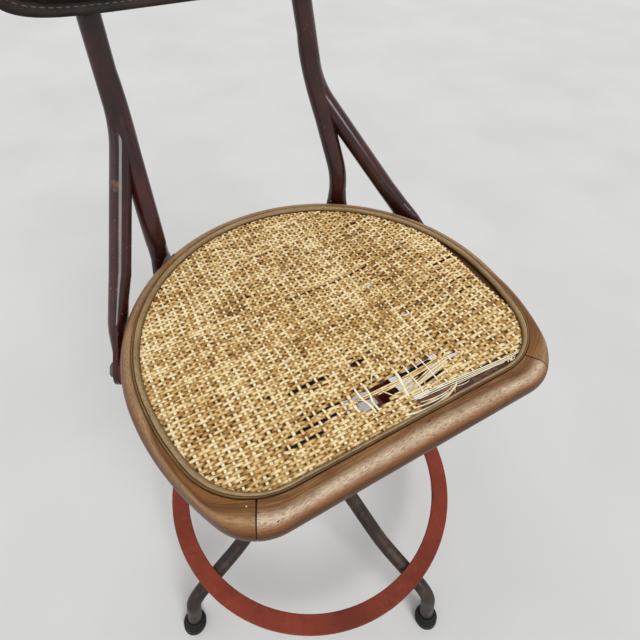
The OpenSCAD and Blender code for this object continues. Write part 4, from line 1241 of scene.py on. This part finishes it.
    @staticmethod
    def ease(value: Points) -> Points:
        """Smooth step from 0 to 1."""
        t = np.clip(value, 0, 1)
        return t * t * (3 - 2 * t)

    def sway(self, x: Points, y: Points) -> tuple[Points, Points]:
        """Moves points of the even weave to where they were woven: rows climb on the right, strips lean.

        Args:
            x: Places from side to side.
            y: Places from front to rear.
        Returns:
            The moved x and y.
        """
        climb = 0.095 * self.ease((y + 0.135) / 0.07) * np.maximum(x - 0.028, 0) * self.ease((x - 0.01) / 0.05)
        dx = 0.020 * y + 0.0007 * np.sin(y * 31 + 1.3) * np.sin(x * 17 + 0.4) + 0.0005 * np.sin(y * 74 + x * 23)
        dy = climb + 0.0007 * np.sin(x * 23 + 0.7) * np.cos(y * 19 + 0.2) + 0.0003 * np.sin(x * 61 + y * 37 + 2.0)
        return x + dx, y + dy

    def warp(self, x: Points, y: Points) -> tuple[Points, Points]:
        """Sways points, then pushes them apart at the slits.

        Args:
            x: Places from side to side.
            y: Places from front to rear.
        Returns:
            The moved x and y.
        """
        wx, wy = self.sway(x, y)
        push = np.zeros_like(wy)
        for slit, seam in self.marks:
            span = self.ease((wx - slit.x0) / 0.003) * self.ease((slit.x1 - wx) / 0.003)
            off = y - seam
            fade = np.exp(-np.maximum(np.abs(off) - 0.0015, 0) / slit.reach)
            push += span * np.sign(off) * (slit.gap / 2 + 0.0005) * fade
        return wx, wy + push

    def alive(self, x: Points, y: Points, row: bool) -> Points:
        """Tells where a woven strand is still there.

        Args:
            x: Real places from side to side.
            y: Real places from front to rear.
            row: Whether the strand is a row rather than a cross strip.
        Returns:
            True where it is.
        """
        keep = self.inside(x, y)
        keep &= ~((x > self.slot_x[0]) & (x < 0.113) & (y < -0.1372 - 0.0012 * self.ease((x - 0.05) / 0.03)))
        slot_y = (self.slot_rows_y if row else self.slot_strips_y) - self.slot_slope * np.maximum(x - 0.018, 0)
        keep &= ~((x > self.slot_x[0]) & (x < self.slot_x[1]) & (y < slot_y))
        left, right, front, rear = self.torn_rows if row else self.torn_strips
        if row:
            front = front - 0.0066 * self.ease((x - 0.014) / 0.006)
            for cx, cy, rx, ry in self.holes:
                keep &= ~(((x - cx) / rx) ** 2 + ((y - cy) / ry) ** 2 < 1)
        return keep & ~((x > left) & (x < right) & (y < rear) & (y > front))

    def strand(self, line: Points, side: Points | None, width: Points | float, number: int) -> Piece:
        """Lofts one strand with a thin rounded section.

        Args:
            line: Points of its middle.
            side: Its sideways direction, or None to work it out from the line.
            width: Its width, or its width at each point.
            number: Its number, for its own tone.
        Returns:
            The open strand.
        """
        n = len(line) - 1
        width = np.broadcast_to(np.asarray(width, float), (n + 1,))
        run = float(run_along(line)[-1])
        section = np.array([(-0.5, -0.25), (-0.24, 0.42), (0.24, 0.42), (0.5, -0.25), (0.0, -0.5), (-0.5, -0.25)])
        if side is None:
            ahead = np.gradient(line, axis=0)
            across = np.stack([-ahead[:, 1], ahead[:, 0], np.zeros(len(line))], 1)
            across /= np.linalg.norm(across, axis=1)[:, None]
            width = width * np.interp(np.arange(n + 1), [0, 2, n - 2, n], [0.5, 1, 1, 0.5])
        else:
            across = np.tile(side, (n + 1, 1))

        def shape(u: Points, v: Points) -> Points:
            """Places the strand's points."""
            i, k = np.rint(u * n).astype(int), np.rint(v * 5).astype(int)
            out = line[i] + across[i] * (section[k][:, :1] * width[i][:, None])
            out[:, 2] += section[k][:, 1] * self.thick
            return out

        return Bench.loft(f"strand{number}", n, 5, shape, (run, 0.002), number * 0.01)

    def lay(self, points: Points, keep: Points, side: Points, width: Points, number: int) -> list[Piece]:
        """Lofts the unbroken runs of one strand."""
        made, start = [], None
        for i in range(len(points) + 1):
            on = i < len(points) and keep[i]
            if on and start is None:
                start = i
            elif not on and start is not None:
                if i - start >= 3:
                    made.append(self.strand(points[start:i], side, width[start:i], number))
                start = None
        return made

    def build_rows(self, name: str, chosen: range) -> Piece:
        """Weaves the chosen rows."""
        parts: list[Piece] = []
        for i in chosen:
            y0 = self.rows[i]
            stops = np.sort(np.concatenate([self.strips, self.strips - 0.0021, self.strips + 0.0021,
                                            (self.strips[1:] + self.strips[:-1]) / 2]))
            index = np.interp(stops, self.strips, np.arange(len(self.strips))) + i
            wave = np.cos(np.pi * index)
            z = self.level + self.swing * np.sign(wave) * np.abs(wave) ** 0.8
            z = z + 0.0001 * self.random.standard_normal()
            wx, wy = self.warp(stops, np.full_like(stops, y0))
            for reach, low, high in ((0.00032, 25, 60), (0.00018, 80, 170)):
                wander = self.random.uniform(0.3, 1.0) * reach
                wy = wy + wander * np.sin(stops * self.random.uniform(low, high) + self.random.uniform(0, 6.3))
            near = self.rows[max(i - 1, 0):i + 2]
            pitch = float(np.diff(near).mean()) * 0.5 + float(np.diff(near).max()) * 0.5
            room = self.sway(stops, np.full_like(stops, y0 + pitch))[1] - self.sway(stops, np.full_like(stops, y0))[1]
            width = room * self.random.uniform(1.1, 1.26) * (1 + 0.07 * np.sin(stops * 140 + i * 2.1))
            width = width * np.interp(wave, [-1, 0, 1], [1.3, 1.12, 0.94])
            parts += self.lay(np.stack([wx, wy, z], 1), self.alive(wx, wy, True), np.array([0.0, 1.0, 0.0]), width, i)
        return Bench.close(Bench.join(name, parts), angle=75, gap=1e-7)

    def build_strips(self) -> Piece:
        """Weaves the cross strips."""
        parts: list[Piece] = []
        for j, x0 in enumerate(self.strips):
            index = np.arange(0, len(self.rows) - 0.99, 0.5)
            y = np.interp(index, np.arange(len(self.rows)), self.rows)
            wx, wy = self.warp(np.full_like(y, x0), y)
            wx = wx + 0.0005 * np.sin(y * self.random.uniform(40, 110) + self.random.uniform(0, 6.3))
            wx = wx + self.random.uniform(-0.0005, 0.0005)
            z = self.level + 0.00012 - self.swing * 0.85 * np.cos(np.pi * (index + j))
            width = self.strip_w * self.random.uniform(0.78, 1.15) * (1 + 0.12 * np.sin(y * 160 + j))
            keep = self.alive(wx, wy, False)
            if keep.sum() > 4:
                parts += self.lay(np.stack([wx, wy, z], 1), keep, np.array([1.0, 0.0, 0.0]), width, 300 + j)
        return Bench.close(Bench.join("cane_strips", parts), angle=75, gap=1e-7)

    def build_loose(self, kind: Kind) -> Piece:
        """Lays the torn part's strands of one kind, and the near-black strands of painted shade under the dark slits.
        """
        parts = []
        for i, one in enumerate(TEAR):
            if one.kind is kind:
                line = one.line(self.level)
                parts.append(self.strand(line, None, one.widths(len(line)), 500 + i))
        # Near-black strands of painted shade under the dark slits.
        if kind is Kind.SHADE:
            for i, (slit, seam) in enumerate(self.marks):
                if not slit.dark:
                    continue
                x = np.linspace(slit.x0 - 0.002, slit.x1 + 0.004, max(5, int((slit.x1 - slit.x0) / 0.004)))
                wx, wy = self.sway(x, np.full_like(x, seam))
                line = np.stack([wx + 0.0006, wy + 0.0009, np.full_like(x, self.level - 0.0022)], 1)
                parts.append(self.strand(line, None, slit.gap + 0.0026, 600 + i))
        if kind is Kind.STRIP:
            for k in range(11):
                a, reach = self.random.uniform(-2.6, 0.9), self.random.uniform(2.6, 5.2)
                x, y = self.random.uniform(112, 117), self.random.uniform(-143.8, -140.6)
                tuft = Loose(((x, y, 0.6), (x + reach * 0.5 * math.cos(a), y + reach * 0.4 * math.sin(a), 1.8),
                              (x + reach * math.cos(a + 0.5), y + reach * 0.8 * math.sin(a + 0.5), 1.0)), 0.8)
                parts.append(self.strand(tuft.line(self.level, 0.0008), None, 0.0008, 640 + k))
        return Bench.close(Bench.join("cane_loose_" + kind.value, parts), angle=75, gap=1e-7)

    def ledge(self) -> Piece:
        """Lays the rough glued strip of ledge that shows through the slot at the front."""
        def shape(u: Points, v: Points) -> Points:
            """Places the strip's points."""
            lift = 0.00025 * np.sin(u * 71) * np.sin(v * 9 + u * 31)
            x, y, z = self.glue_at
            return np.stack([x + self.glue_size[0] * u, y + self.glue_size[1] * v, z + lift], 1)

        return Bench.loft("ledge_glue", 90, 8, shape, self.glue_size)

    def build(self, finishes: Finishes) -> None:
        """Makes the rows, the cross strips and the torn part."""
        middle = len(self.rows) // 2
        front = self.build_rows("cane_rows_front", range(0, middle))
        Bench.finish(front, finishes.rows, "seat", "cane", ["cane_panel"])
        rear = self.build_rows("cane_rows_rear", range(middle, len(self.rows)))
        Bench.finish(rear, finishes.rows, "seat", "cane", ["cane_panel"])
        Bench.finish(self.build_strips(), finishes.strips, "seat", "cane", ["cane_panel"])
        chosen = {Kind.ROW: finishes.torn_rows, Kind.STRIP: finishes.torn_strips, Kind.SHADE: finishes.shade}
        for kind, material in chosen.items():
            Bench.finish(self.build_loose(kind), material, "seat", "cane")
        Bench.finish(self.ledge(), finishes.ledge, "seat", "rim_wood")


# The backrest


@dataclass
class BackPad:
    """The leather pad: a crowned cushion, its sewn border and the stitches."""

    lean: float = math.radians(16.1)
    splay: float = math.radians(2.8)
    seat_top: float = SEAT_TOP
    bend: Place = (0.103, 0.187, 0.112)
    pad_z: float = 0.196
    width: float = 0.352
    height: float = 0.138
    crown: float = 0.024
    border: float = 0.007
    back_r: float = 0.420
    board: float = 0.008
    post_top: float = 0.300
    tube_r: float = 0.01
    seated: float = 0.0003  # gap kept between two pieces
    front_share: float = 0.62  # share of the cushion's section that is its front
    stitch: Place = (0.0024, 0.00052, 0.00045)  # half sizes
    stitch_pitch: float = 0.0062
    stitch_at: float = 0.916
    stitch_up: float = 0.0056
    squareness: float = 7.0
    border_unit: float = 0.07  # how far in a border share of 0 would lie
    voxel: float = 0.0038
    held_depth: float = 0.006
    pressure: float = 4.0
    frames: int = 20
    swell: float = 0.0035

    def __post_init__(self) -> None:
        """Works out the curve's centre and the pad's place."""
        self.mid = self.pad_z + self.height / 2 * math.cos(self.lean)
        contact = self.bend[0] - (self.post_top - self.bend[2]) * math.tan(self.splay)
        self.centre_y = -math.sqrt((self.back_r + self.board + self.tube_r + self.seated) ** 2 - contact ** 2)
        y = self.bend[1] + (self.mid - self.bend[2]) * math.tan(self.lean)
        self.frame = Matrix.Translation((0, y, self.seat_top + self.mid)) @ Matrix.Rotation(-self.lean, 4, "X")

    def outline(self, turn: Points) -> tuple[Points, Points]:
        """A rounded rectangle of half size 1."""
        c, s = np.cos(turn), np.sin(turn)
        k = (np.abs(c) ** self.squareness + np.abs(s) ** self.squareness) ** (-1 / self.squareness)
        return k * c, k * s

    def bent(self, x: Points, z: Points, t: Points) -> Points:
        """Places points on the pad's curve.

        Args:
            x: Metres over the curve.
            z: Metres up.
            t: Metres in front of the board.
        Returns:
            Points in the chair's frame.
        """
        r = self.back_r - self.seated - t
        a = x / self.back_r
        local = np.stack([r * np.sin(a), self.centre_y + r * np.cos(a), z], 1)
        m = np.array(self.frame)
        return local @ m[:3, :3].T + m[:3, 3]

    def cushion(self) -> Piece:
        """Makes the crowned middle, swollen as a stuffed cover is."""
        def shape(u: Points, v: Points) -> Points:
            """Front and back skins of the cushion."""
            ux, uz = self.outline(2 * np.pi * u)
            front = v <= self.front_share
            q = np.maximum(np.where(front, v / self.front_share, (1 - v) / (1 - self.front_share)), 0.0)
            dome = np.clip(1 - q ** 3, 0, 1) ** 0.55
            t = np.where(front, self.border * 0.6 + (self.crown - self.border * 0.6) * dome, 0.0012)
            return self.bent(q * ux * (self.width / 2 - self.border), q * uz * (self.height / 2 - self.border), t)

        return Bench.close(Bench.loft("pad_cushion", 96, 26, shape), caps=True, angle=70, gap=1e-5)

    def stuff(self, obj: Piece) -> None:
        """Swells the cover with a short cloth simulation, as stuffing does, and keeps the result in its mesh.

        Args:
            obj: The cushion.
        """
        Bench.pick(obj)
        remesh = obj.modifiers.new("cover", "REMESH")
        remesh.mode, remesh.voxel_size = "VOXEL", self.voxel
        bpy.ops.object.modifier_apply(modifier=remesh.name)
        before = Bench.points(obj.data)
        back = np.array(self.frame.to_3x3() @ Vector((0, 1, 0)))
        depth = (before - np.array(self.frame.translation)) @ back
        bow = depth + self.back_r - np.sqrt(self.back_r ** 2 - before[:, 0] ** 2)
        held = obj.vertex_groups.new(name="held")
        held.add([int(i) for i in np.nonzero(bow > bow.max() - self.held_depth)[0]], 1.0, "REPLACE")
        cloth = obj.modifiers.new("swell", "CLOTH")
        cloth.settings.quality = 6
        cloth.settings.mass = 0.25
        cloth.settings.tension_stiffness = cloth.settings.compression_stiffness = 22
        cloth.settings.bending_stiffness = 1.2
        cloth.settings.use_pressure = True
        cloth.settings.uniform_pressure_force = self.pressure
        cloth.settings.vertex_group_mass = "held"
        cloth.settings.effector_weights.gravity = 0.0
        for frame in range(1, self.frames + 1):
            bpy.context.scene.frame_set(frame)
        bpy.ops.object.modifier_apply(modifier=cloth.name)
        move = Bench.points(obj.data) - before
        far = np.maximum(np.linalg.norm(move, axis=1), 1e-9)
        move *= (np.minimum(far, self.swell) / far)[:, None]
        obj.data.vertices.foreach_set("co", (before + move).ravel())
        bpy.context.scene.frame_set(1)
        smooth = obj.modifiers.new("smooth", "SUBSURF")
        smooth.levels = smooth.render_levels = 1
        bpy.ops.object.modifier_apply(modifier=smooth.name)
        bpy.ops.object.shade_smooth()
        log.info("cushion swelled by %.1f mm at most", float(np.linalg.norm(move, axis=1).max()) / MM)

    def on_border(self, turn: Points, share: Points | float, t: Points) -> Points:
        """Places points on the border; a share of 1 is its outer edge."""
        ux, uz = self.outline(turn)
        inset = (1 - share) * self.border_unit
        return self.bent(ux * (self.width / 2 - inset), uz * (self.height / 2 - inset), t)

    def flange(self) -> Piece:
        """Makes the border: two leathers sewn flat round the cushion."""
        section = [(0.81, 0.3), (0.81, 3.6), (0.9, 5.4), (0.915, 5.2), (0.935, 6.2), (0.965, 6.4), (0.988, 5.6),
                   (0.998, 4.2), (1.0, 3.6), (0.996, 3.0), (1.0, 2.4), (0.994, 1.0), (0.98, 0.2), (0.81, 0.3)]
        table = np.array(section)

        def shape(u: Points, v: Points) -> Points:
            """Reads the section at each place round the pad."""
            k = np.rint(v * (len(table) - 1)).astype(int)
            turn = 2 * np.pi * u
            t = table[k, 1] * MM * (1 + 0.04 * np.sin(turn * 23) + 0.03 * np.sin(turn * 41 + 1))
            return self.on_border(turn, table[k, 0], t)

        return Bench.close(Bench.loft("pad_border", 320, len(table) - 1, shape), caps=False, angle=60)

    def stitches(self) -> Piece:
        """Sews one stitch and copies it round the border."""
        one = Bench.ball(8, 6, Matrix.Diagonal((*self.stitch, 1)))
        turns = np.linspace(0, 2 * np.pi, 4001)
        line = self.on_border(turns, self.stitch_at, np.full_like(turns, self.stitch_up))
        run = run_along(line)
        count = int(run[-1] / self.stitch_pitch)
        parts = []
        for i in range(count):
            here = Vector([float(np.interp((i + 0.5) * run[-1] / count, run, line[:, k])) for k in range(3)])
            ahead = Vector([float(np.interp((i + 0.56) * run[-1] / count, run, line[:, k])) for k in range(3)])
            x = (ahead - here).normalized()
            z = (self.frame.to_3x3() @ Vector((here.x / self.back_r * -1, -1, 0))).normalized()
            y = z.cross(x).normalized()
            turn = Matrix((x, y, x.cross(y))).transposed().to_4x4()
            parts.append(Bench.copy(one, Matrix.Translation(here) @ turn))
        bpy.data.objects.remove(one)
        joined = Bench.join("pad_stitches", parts)
        bpy.ops.object.shade_smooth()
        return joined

    def build(self, finishes: Finishes) -> None:
        """Makes the cushion, its border and its stitches."""
        cushion = self.cushion()
        self.stuff(cushion)
        Bench.finish(cushion, finishes.leather, "seat", "pad_leather", ["backrest_pad"])
        Bench.finish(self.flange(), finishes.border, "seat", "pad_leather", ["backrest_pad"])
        Bench.finish(self.stitches(), finishes.thread, "seat", "pad_leather")


# The back's joints


@dataclass
class Weld:
    """The brazed joints where each brace runs into its post: one smooth tube line and a filled crotch."""

    top: Place = (0.10064, 0.2009, 0.6880)
    bend: Place = (0.10114, 0.18928, 0.65344)
    low: Place = (0.1046, 0.1652, 0.6087)
    brace: Place = (0.0678, -0.4722, -0.8789)
    post: Place = POST_DOWN
    radius: float = 0.0103

    def line(self, count: int = 40) -> Points:
        """A smooth line down the post and into the brace."""
        top, bend, low = (np.array(p) for p in (self.top, self.bend, self.low))
        pull = 2 * bend - (top + low) / 2
        t = np.linspace(0, 1, count)[:, None]
        return (1 - t) ** 2 * top + 2 * t * (1 - t) * pull + t ** 2 * low

    def build(self, finishes: Finishes) -> None:
        """Makes both joints."""
        parts = []
        for side in (1, -1):
            flip = np.array([side, 1, 1])
            path = self.line()
            radii = self.radius * (0.945 + 0.055 * np.sin(np.linspace(0, np.pi, len(path))))
            parts.append(Bench.close(Bench.loft("joint", 39, 40, tube(path * flip, radii)), angle=50))
            half = (Vector(self.brace) + Vector(self.post)).normalized()
            fill = np.array([self.bend + np.array(half) * d for d in np.linspace(0.0, 0.036, 20)]) * flip
            fill_r = np.interp(np.linspace(0, 1, 20), [0, 0.5, 0.85, 1], [0.0094, 0.0066, 0.003, 0.001])
            parts.append(Bench.close(Bench.loft("fillet", 19, 28, tube(fill, fill_r)), angle=50))
        Bench.finish(Bench.join("brace_welds", parts), finishes.posts, "seat", "post_paint")


@dataclass
class PostFoot:
    """The lower end of each post: round past the rim, then hammered flat just above its bolt."""

    low: Place = (0.162, 0.087, SEAT_TOP)
    down: Place = POST_DOWN
    centre_y: float = -0.026
    bolt_drop: float = 0.045
    reaches: tuple[tuple[float, float, float, float], ...] = (
        (18, 9.9, 9.9, 10.1), (8, 8.6, 10.2, 10.9), (0, 7.6, 10.3, 11.6), (-8, 7.4, 10.3, 13.1), (-14, 6.9, 10.3, 14.0),
        (-20, 4.6, 9.4, 14.1), (-26, 2.3, 7.6, 14.2), (-32, 2.28, 5.4, 14.2), (-36.5, 2.25, 3.4, 14.1))

    def build(self, finishes: Finishes) -> None:
        """Makes both ends. Each reach is a height over the seat, then how far it goes in, out and across."""
        down = np.array(self.down)
        low = np.array(self.low)

        def at(height: Points) -> Points:
            """Points of the tube's middle line at heights over the seat's top."""
            return low + np.multiply.outer(height / down[2], down)

        hole = at(np.array(-self.bolt_drop))
        away = np.array([hole[0], hole[1] - self.centre_y, 0.0])
        away /= np.linalg.norm(away)
        side = away - down * away.dot(down)
        side /= np.linalg.norm(side)
        cross = np.cross(down, side)
        table = np.array(self.reaches) * MM
        parts = []
        for mirror in (1, -1):
            def shape(u: Points, v: Points, mirror: int = mirror) -> Points:
                """Places the end's points."""
                height = table[0, 0] + (table[-1, 0] - table[0, 0]) * u
                inner, outer, wide = (np.interp(-height, -table[:, 0], table[:, k]) for k in (1, 2, 3))
                c, s = np.cos(2 * np.pi * v), np.sin(2 * np.pi * v)
                out = at(height) + np.multiply.outer(c * np.where(c > 0, outer, inner), side)
                return (out + np.multiply.outer(s * wide, cross)) * (mirror, 1, 1)

            parts.append(Bench.close(Bench.loft("post_end", 44, 40, shape), angle=50))
        Bench.finish(Bench.join("post_feet", parts), finishes.posts, "seat", "post_paint")


# The whole chair


@dataclass
class Finishes:
    """Every material of the chair, made once."""

    def __post_init__(self) -> None:
        """Makes the materials."""
        self.posts = GlossPaint().material()
        self.legs = DullPaint().material()
        self.iron = DullPaint("iron_paint", (128, 54, 38), (150, 78, 58), (92, 36, 26), (140, 76, 44), 0.5).material()
        self.hub = DullPaint("hub_paint", (58, 50, 47), (84, 74, 68), (36, 31, 29), (96, 60, 42), 0.45).material()
        self.ring = RedOxide().material()
        self.rubber = Rubber().material()
        self.plastic = Rubber("knob_plastic", (26, 25, 26), (70, 68, 66), 0.28).material()
        self.steel = Metal().material()
        self.black_steel = Metal("dark_steel", (92, 84, 78), (70, 48, 36), 0.4).material()
        self.bronze = Metal("bronze", (172, 128, 78), (104, 78, 50), 0.3).material()
        # Each nose's pale band is worn varnish and painted highlight; the last colour is both the pores' colour and the
        # painted shade underneath.
        self.hoop = BentWood("hoop_beech", wear_and_highlight=0.75).material()
        self.rail = BentWood("rail_beech", (132, 90, 52), (98, 64, 37), (158, 117, 74), (212, 190, 162),
                             (138, 80, 38), (66, 42, 26), wear_and_highlight=1.2).material()
        # The bead's dark bands are dirt and painted shade, in each groove and at its edges.
        self.bead = BentWood("bead_reed", (122, 89, 48), (80, 55, 28), (164, 128, 78), (192, 168, 126),
                             (126, 86, 42), (56, 38, 21), nose=0.0122, wear_and_highlight=0.8,
                             groove_dirt_and_shade=((0.0, 0.0062), (0.0081, 0.0028), (0.0200, 0.0062))).material()
        self.glue = BentWood("mitre_glue", (34, 22, 16), (20, 13, 10), (46, 30, 22), (52, 38, 28),
                             (38, 24, 17), (20, 14, 10), wear_and_highlight=0.0).material()
        self.rows = Cane().material()
        self.strips = Cane("cane_strips", (250, 232, 190), (230, 197, 138), (194, 152, 92), (138, 99, 53),
                           (70, 44, 22), edge=0.7, lift=0.12).material()
        self.torn_rows = Cane("cane_torn_rows", flat=0.55, lift=0.08).material()
        self.torn_strips = Cane("cane_torn_strips", (252, 242, 214), (238, 214, 164), (214, 178, 124), (176, 138, 90),
                                (104, 74, 44), edge=0.5, flat=0.8, lift=0.2).material()
        # Near-black painted shade for the strands under the dark slits.
        self.shade = Cane("cane_painted_shade", (38, 24, 14), (30, 19, 11), (22, 14, 9), (15, 10, 7), (8, 5, 4)).material()
        ledge = DullPaint("ledge_glue", (108, 72, 60), (156, 118, 104), (66, 40, 34), (46, 26, 22), 0.45)
        self.ledge = ledge.material()
        self.leather = Leather().material()
        self.border = Leather("border_leather", (50, 37, 31), (30, 22, 19), (70, 52, 42), 0.25).material()
        self.thread = Thread().material()
        self.board = Plywood().material()


class Group(Enum):
    """CAD nodes that keep their own shape, by finish."""

    POSTS = ("post_left", "post_right", "brace_left", "brace_right")
    LEGS = ("leg_left", "leg_front", "leg_right", "leg_rear")
    HUB = ("base_hub", "column_tube", "clamp_collar", "spindle_flange", "seat_boss")
    IRON = ("seat_bar", "front_cross_bar", "side_cross_bar", "rear_cross_bar")
    RING = ("foot_ring", "ring_cleats")
    RUBBER = ("foot_left", "foot_front", "foot_right", "foot_rear")
    PLASTIC = ("clamp_knob", "post_plugs")
    STEEL = ("clamp_screw", "spindle", "upper_washer", "keeper_washer", "rail_screws")
    DARK_STEEL = ("keeper_nut", "boss_bolts", "tab_bolts", "backrest_bolts")
    BRONZE = ("lower_washer", "lower_bush", "upper_bush")
    BOARD = ("backrest_board",)


@dataclass
class Chair:
    """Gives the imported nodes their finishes."""

    frame: dict

    def dress(self, finishes: Finishes) -> None:
        """Assigns a material to each node that stays."""
        chosen = {
            Group.POSTS: finishes.posts, Group.LEGS: finishes.legs, Group.HUB: finishes.hub,
            Group.IRON: finishes.iron, Group.RING: finishes.ring, Group.RUBBER: finishes.rubber,
            Group.PLASTIC: finishes.plastic, Group.STEEL: finishes.steel, Group.DARK_STEEL: finishes.black_steel,
            Group.BRONZE: finishes.bronze, Group.BOARD: finishes.board,
        }
        for group, material in chosen.items():
            for name in group.value:
                obj = self.frame["nodes"][name]
                obj.data.materials.clear()
                obj.data.materials.append(material)
            log.info("%s: %d nodes in %s", group.name.lower(), len(group.value), material.name)


@dataclass
class Studio:
    """The camera, the floor and the lights."""

    eye: Place = (-0.1603, -0.2716, 0.8593)
    ahead: Place = (0.3448, 0.5622, -0.7517)
    right: Place = (0.8524, -0.5229, 0.0)
    roll: float = math.radians(2.101)
    lens: float = 26.87
    key: Place = (0.02, -0.62, 0.80)
    fill: Place = (-0.75, 0.35, 0.85)
    ambient: float = 0.52

    def camera(self) -> None:
        """Places the camera as the photograph was taken."""
        ahead = Vector(self.ahead).normalized()
        right = Vector(self.right).normalized()
        up = right.cross(ahead).normalized()
        x = right * math.cos(self.roll) + up * math.sin(self.roll)
        y = up * math.cos(self.roll) - right * math.sin(self.roll)
        data = bpy.data.cameras.new("camera")
        data.lens, data.sensor_width, data.sensor_fit = self.lens, 36.0, "HORIZONTAL"
        data.clip_start, data.clip_end = 0.02, 60.0
        cam = bpy.data.objects.new("camera", data)
        bpy.context.scene.collection.objects.link(cam)
        turn = Matrix((x, y, -ahead)).transposed().to_4x4()
        cam.matrix_world = Matrix.Translation(self.eye) @ turn
        bpy.context.scene.camera = cam

    def sun(self, name: str, towards: Sequence[float], angle: float, strength: float) -> None:
        """Adds one soft, even light.

        Args:
            name: Its name.
            towards: Direction in which it stands.
            angle: How wide it looks, in degrees.
            strength: Its strength.
        """
        data = bpy.data.lights.new(name, "SUN")
        data.angle, data.energy = math.radians(angle), strength
        obj = bpy.data.objects.new(name, data)
        bpy.context.scene.collection.objects.link(obj)
        obj.matrix_world = Vector(towards).to_track_quat("Z", "Y").to_matrix().to_4x4()

    def build(self) -> None:
        """Makes the floor, the lights and the white surroundings."""
        Bench.clear()
        bpy.ops.mesh.primitive_plane_add(size=14, location=(0, 0, 0))
        floor = bpy.context.object
        floor.name = "floor"
        s = Sheet("floor_pale")
        speckle = s.noise(s.place(), 3.0, 3, 0.5).ramp(0.3, 0.7)
        floor.data.materials.append(s.surface(
            Base_Color=s.mix(speckle, (206, 206, 205), (212, 212, 211)), Roughness=0.75))
        self.sun("key", self.key, 28.0, 1.8)
        self.sun("fill", self.fill, 60.0, 0.35)
        world = bpy.data.worlds.new("studio")
        bpy.context.scene.world = world
        world.use_nodes = True
        tree = world.node_tree
        back = next(n for n in tree.nodes if n.type == "BACKGROUND")
        rays = tree.nodes.new("ShaderNodeLightPath")
        seen = rays.outputs["Is Camera Ray"]
        for kind in ("Is Transmission Ray", "Is Glossy Ray"):
            either = tree.nodes.new("ShaderNodeMath")
            either.operation = "MAXIMUM"
            tree.links.new(seen, either.inputs[0])
            tree.links.new(rays.outputs[kind], either.inputs[1])
            seen = either.outputs[0]
        level = tree.nodes.new("ShaderNodeMapRange")
        level.inputs["To Min"].default_value = self.ambient
        level.inputs["To Max"].default_value = 1.0
        tree.links.new(seen, level.inputs["Value"])
        tree.links.new(level.outputs[0], back.inputs["Strength"])
        back.inputs["Color"].default_value = (1.0, 1.0, 1.0, 1.0)
        bpy.context.scene.view_settings.view_transform = "Standard"


def main() -> None:
    """Builds the scene in order."""
    logging.basicConfig(level=logging.INFO, format="%(message)s")
    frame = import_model()
    studio = Studio()
    studio.camera()
    studio.build()
    finishes = Finishes()
    Chair(frame).dress(finishes)
    rim = SeatRim()
    rim.build(finishes)
    WovenCane(rim).build(finishes)
    BackPad().build(finishes)
    Weld().build(finishes)
    PostFoot().build(finishes)
    Bench.clear()


if __name__ == "__main__":
    main()
